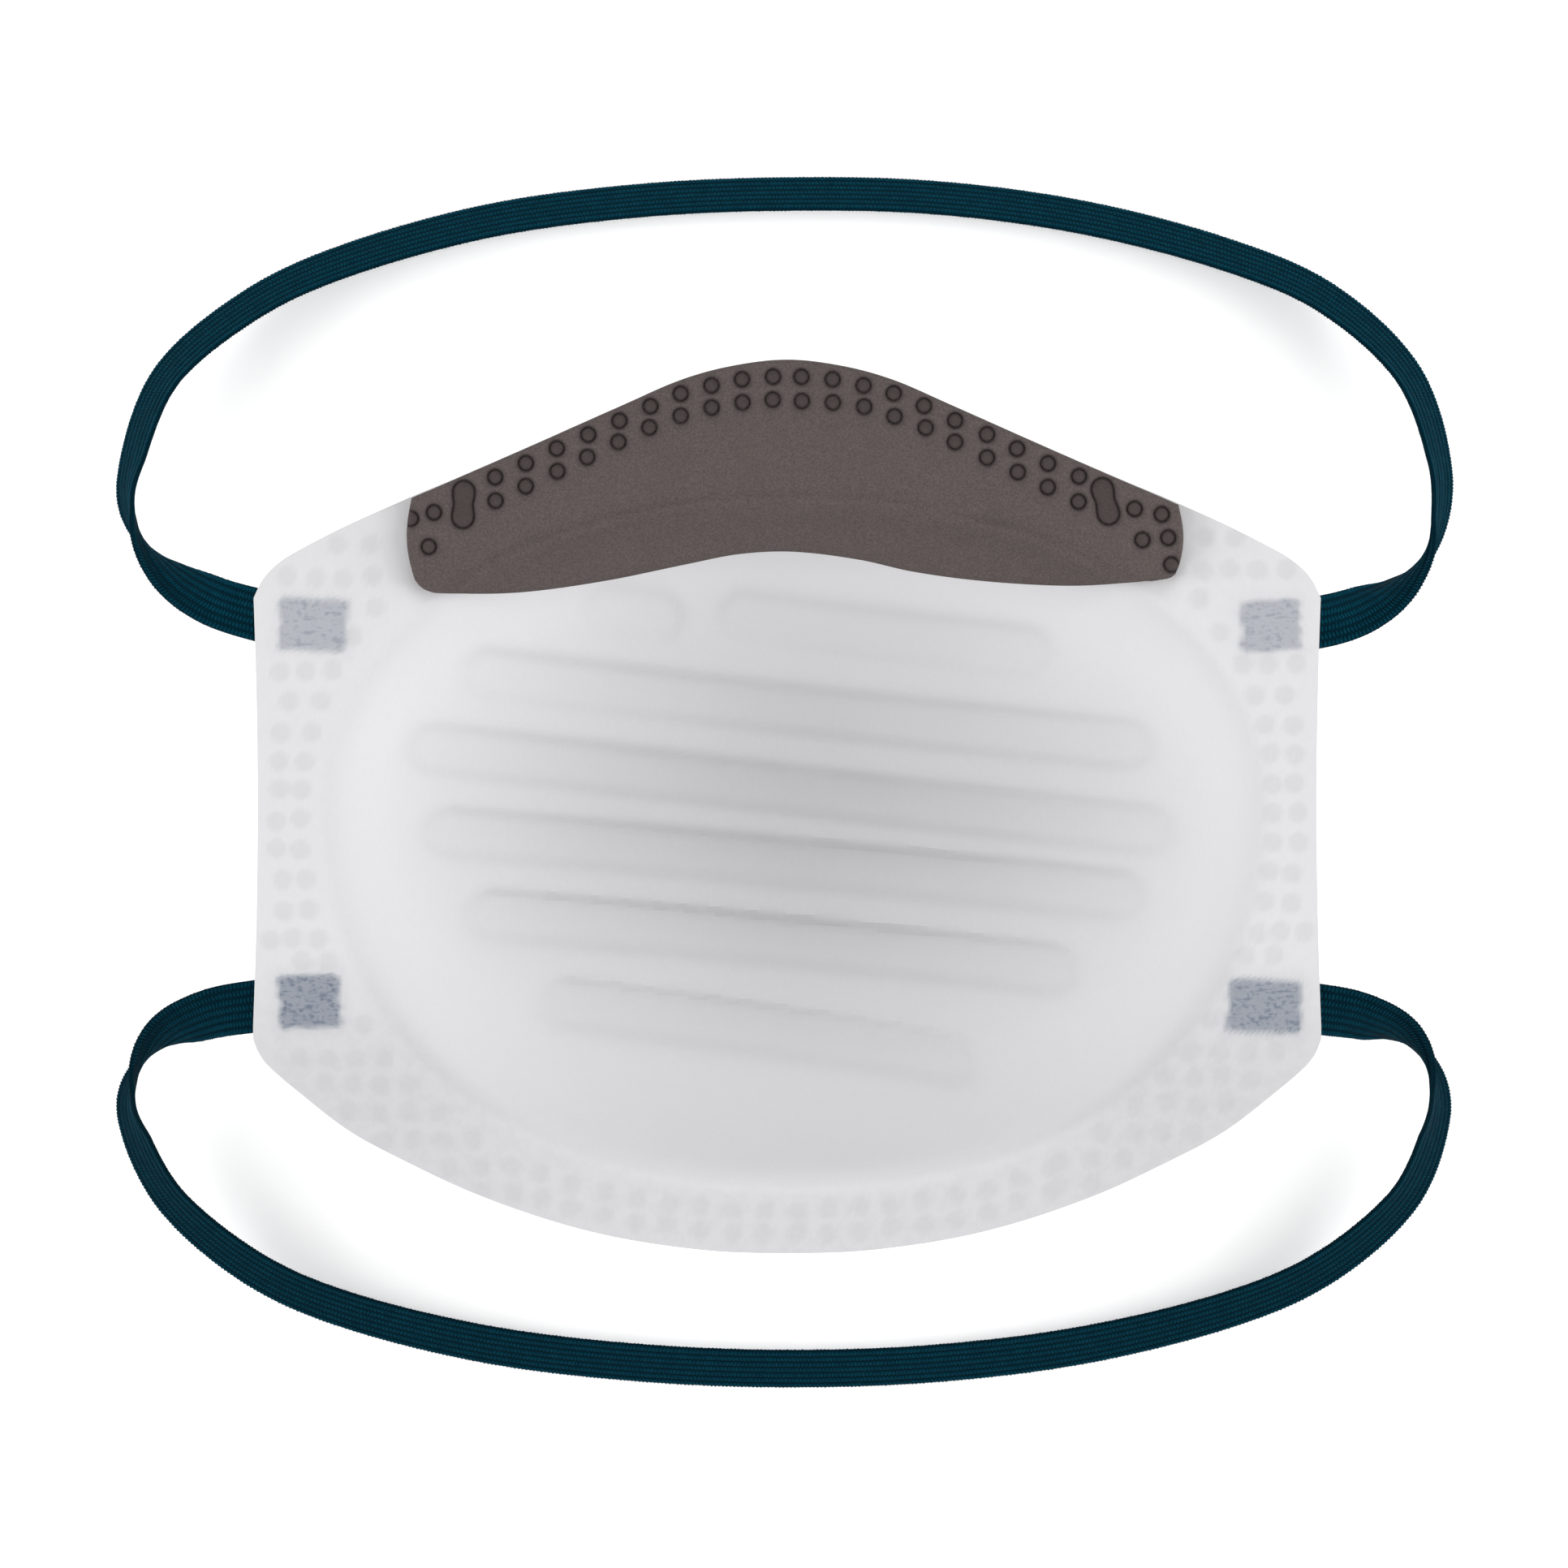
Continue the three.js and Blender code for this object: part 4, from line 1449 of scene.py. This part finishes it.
# Strap routes from the left weld to the right one: x, y, z and the band's turn about its line in degrees.
UPPER_ROUTE: tuple[Row, ...] = (
    (-55.9, 23, 42.75, 0), (-62.1, 23.3, 42.75, 0), (-67.7, 24.4, 42.3, 5), (-74, 26.5, 39, 20),
    (-79.7, 30.2, 33.5, 52), (-84.3, 36, 27, 101), (-85.6, 43.6, 20, 121), (-81.7, 56.4, 11.5, 128),
    (-71.2, 66.1, 6, 131), (-58.6, 72.3, 3.2, 132), (-39.8, 77.6, 2.5, 133), (-19.9, 80.3, 2.5, 133),
    (0, 81.2, 2.5, 133), (19.9, 80.7, 2.5, 133), (39.8, 78, 2.5, 133), (58.6, 73, 3.2, 132),
    (71.6, 67, 6, 131), (81.6, 56.9, 11.5, 127), (85.1, 44.1, 20, 120), (83.6, 34.6, 27, 106),
    (79.2, 28.8, 33.5, 63), (73.6, 25.2, 39, 23), (67.7, 23.4, 42.3, 5), (62.1, 23, 42.75, 0),
    (56.3, 22.9, 42.75, 0),
)
LOWER_ROUTE: tuple[Row, ...] = (
    (-55.9, -24.7, 42.75, 0), (-62.1, -24.9, 42.75, 0), (-67.7, -25.5, 42.3, -4), (-74, -26.7, 39, -18),
    (-80, -29.5, 33.5, -48), (-84.3, -34.9, 27, -102), (-85.3, -41.6, 20, -124), (-81, -52, 11.5, -131),
    (-70.9, -61.2, 6, -136), (-58.6, -67, 3.2, -138), (-39.8, -71.7, 2.4, -140), (-19.9, -74.1, 2.4, -140),
    (0, -74.9, 2.4, -140), (19.9, -74.2, 2.4, -140), (39.8, -71.7, 2.4, -140), (58.6, -67, 3.2, -138),
    (71.2, -61.2, 6, -136), (81, -52, 11.5, -132), (84.5, -41.6, 20, -125), (83.4, -34.6, 27, -108),
    (79.2, -29.5, 33.5, -58), (73.5, -27, 39, -26), (67.7, -25.9, 42.3, -12), (62.1, -25.5, 42.75, -3),
    (56.3, -25.4, 42.75, 0),
)


# ---------------------------------------------------------------- studio


@dataclass
class Studio:
    """Pale floor, soft lights and the camera that looks straight into the cup."""

    form: CupForm
    place: Placement
    camera_above_flange: float = 900.0
    field_width: float = 199.0
    sensor: float = 36.0
    view_centre: Row = (-0.4, 2.8)
    sky: float = 0.2
    reach: float = 1.25
    box_edge: float = 0.7
    floor_glow: float = 0.28
    clip: Row = (0.01, 20.0)
    floor_half: float = 3000.0
    floor_drop: float = 0.02
    floor_tone: float = 0.95
    # soft boxes: name, bearing and height in degrees, power
    boxes: tuple[tuple[str, float, float, float], ...] = (
        ("left_low_box", 180.0, 22.0, 5.7),
        ("left_high_box", 180.0, 45.0, 4.5),
        ("right_low_box", 0.0, 22.0, 6.3),
        ("right_high_box", 0.0, 45.0, 4.9),
        ("nose_box", 90.0, 37.0, 3.7),
        ("chin_box", -90.0, 30.0, 5.5),
    )

    def camera(self) -> None:
        """Makes the scene's camera."""
        data = bpy.data.cameras.new("view_into_the_cup")
        data.sensor_width = self.sensor
        data.lens = self.sensor * self.camera_above_flange / self.field_width
        data.clip_start, data.clip_end = self.clip
        eye = bpy.data.objects.new("view_into_the_cup", data)
        bpy.context.scene.collection.objects.link(eye)
        height = self.form.cheek_height + self.camera_above_flange
        eye.location = self.place.metres(np.array([*self.view_centre, height])).tolist()
        bpy.context.scene.camera = eye

    def floor(self) -> None:
        """Makes the pale floor that the mask lies on."""
        corners = np.array([(-1, -1, 0), (1, -1, 0), (1, 1, 0), (-1, 1, 0)]) * self.floor_half
        corners = self.place.metres(corners - np.array([0, 0, self.floor_drop]))
        ground = mesh_object("pale_floor", corners, [[0, 1, 2, 3]])
        s = Surface("pale_floor_paper", Roughness=0.95, Specular_IOR_Level=0.0)
        s.link("Base Color", (self.floor_tone,) * 3)
        s.link("Emission Color", (1.0, 1.0, 1.0))
        s.link("Emission Strength", self.floor_glow)
        ground.data.materials.append(s.material)

    def lights(self) -> None:
        """Makes the even sky and the soft boxes, each aimed at the mask."""
        world = bpy.data.worlds.new("white_tent")
        world.use_nodes = True
        world.node_tree.nodes["Background"].inputs["Color"].default_value = (1.0, 1.0, 1.0, 1.0)
        world.node_tree.nodes["Background"].inputs["Strength"].default_value = self.sky
        bpy.context.scene.world = world
        bpy.context.scene.view_settings.view_transform = "Standard"
        for name, bearing, height, power in self.boxes:
            data = bpy.data.lights.new(name, "AREA")
            data.shape = "SQUARE"
            data.size = self.box_edge
            data.energy = power
            lamp = bpy.data.objects.new(name, data)
            turn, rise = math.radians(bearing), math.radians(height)
            flat = self.reach * math.cos(rise)
            lamp.location = (flat * math.cos(turn), flat * math.sin(turn), self.reach * math.sin(rise))
            lamp.rotation_euler = lamp.location.to_track_quat("Z", "Y").to_euler()
            bpy.context.scene.collection.objects.link(lamp)


def main() -> None:
    """Builds the dressed mask in order and reports each piece."""
    logging.basicConfig(level=logging.INFO, format="%(name)s: %(message)s")
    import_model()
    form = CupForm()
    place = Placement.from_frame(form)
    LOG.info("maker's frame at %.3f, %.3f mm", place.dx, place.dy)
    shared = SharedEffects()
    knit = KnittedElastic()
    maker = StitchMaker()
    studio = Studio(form, place)
    studio.camera()
    HeadStrap(StrapSide.UPPER, UPPER_ROUTE, place).build(knit.material(shared), maker)
    # the lower strap wears a copy of the elastic darkened as painted shade
    HeadStrap(StrapSide.LOWER, LOWER_ROUTE, place).build(knit.darker(LOWER_STRAP_SHADE).material(shared), maker)
    FilterShell(form, place).build(PressedFibre().material(shared))
    NoseFoam(form, place).build(ClosedFoam().material(shared))
    NoseClip(form, place).build(RolledAluminium().material(shared))
    studio.floor()
    studio.lights()


if __name__ == "__main__":
    main()
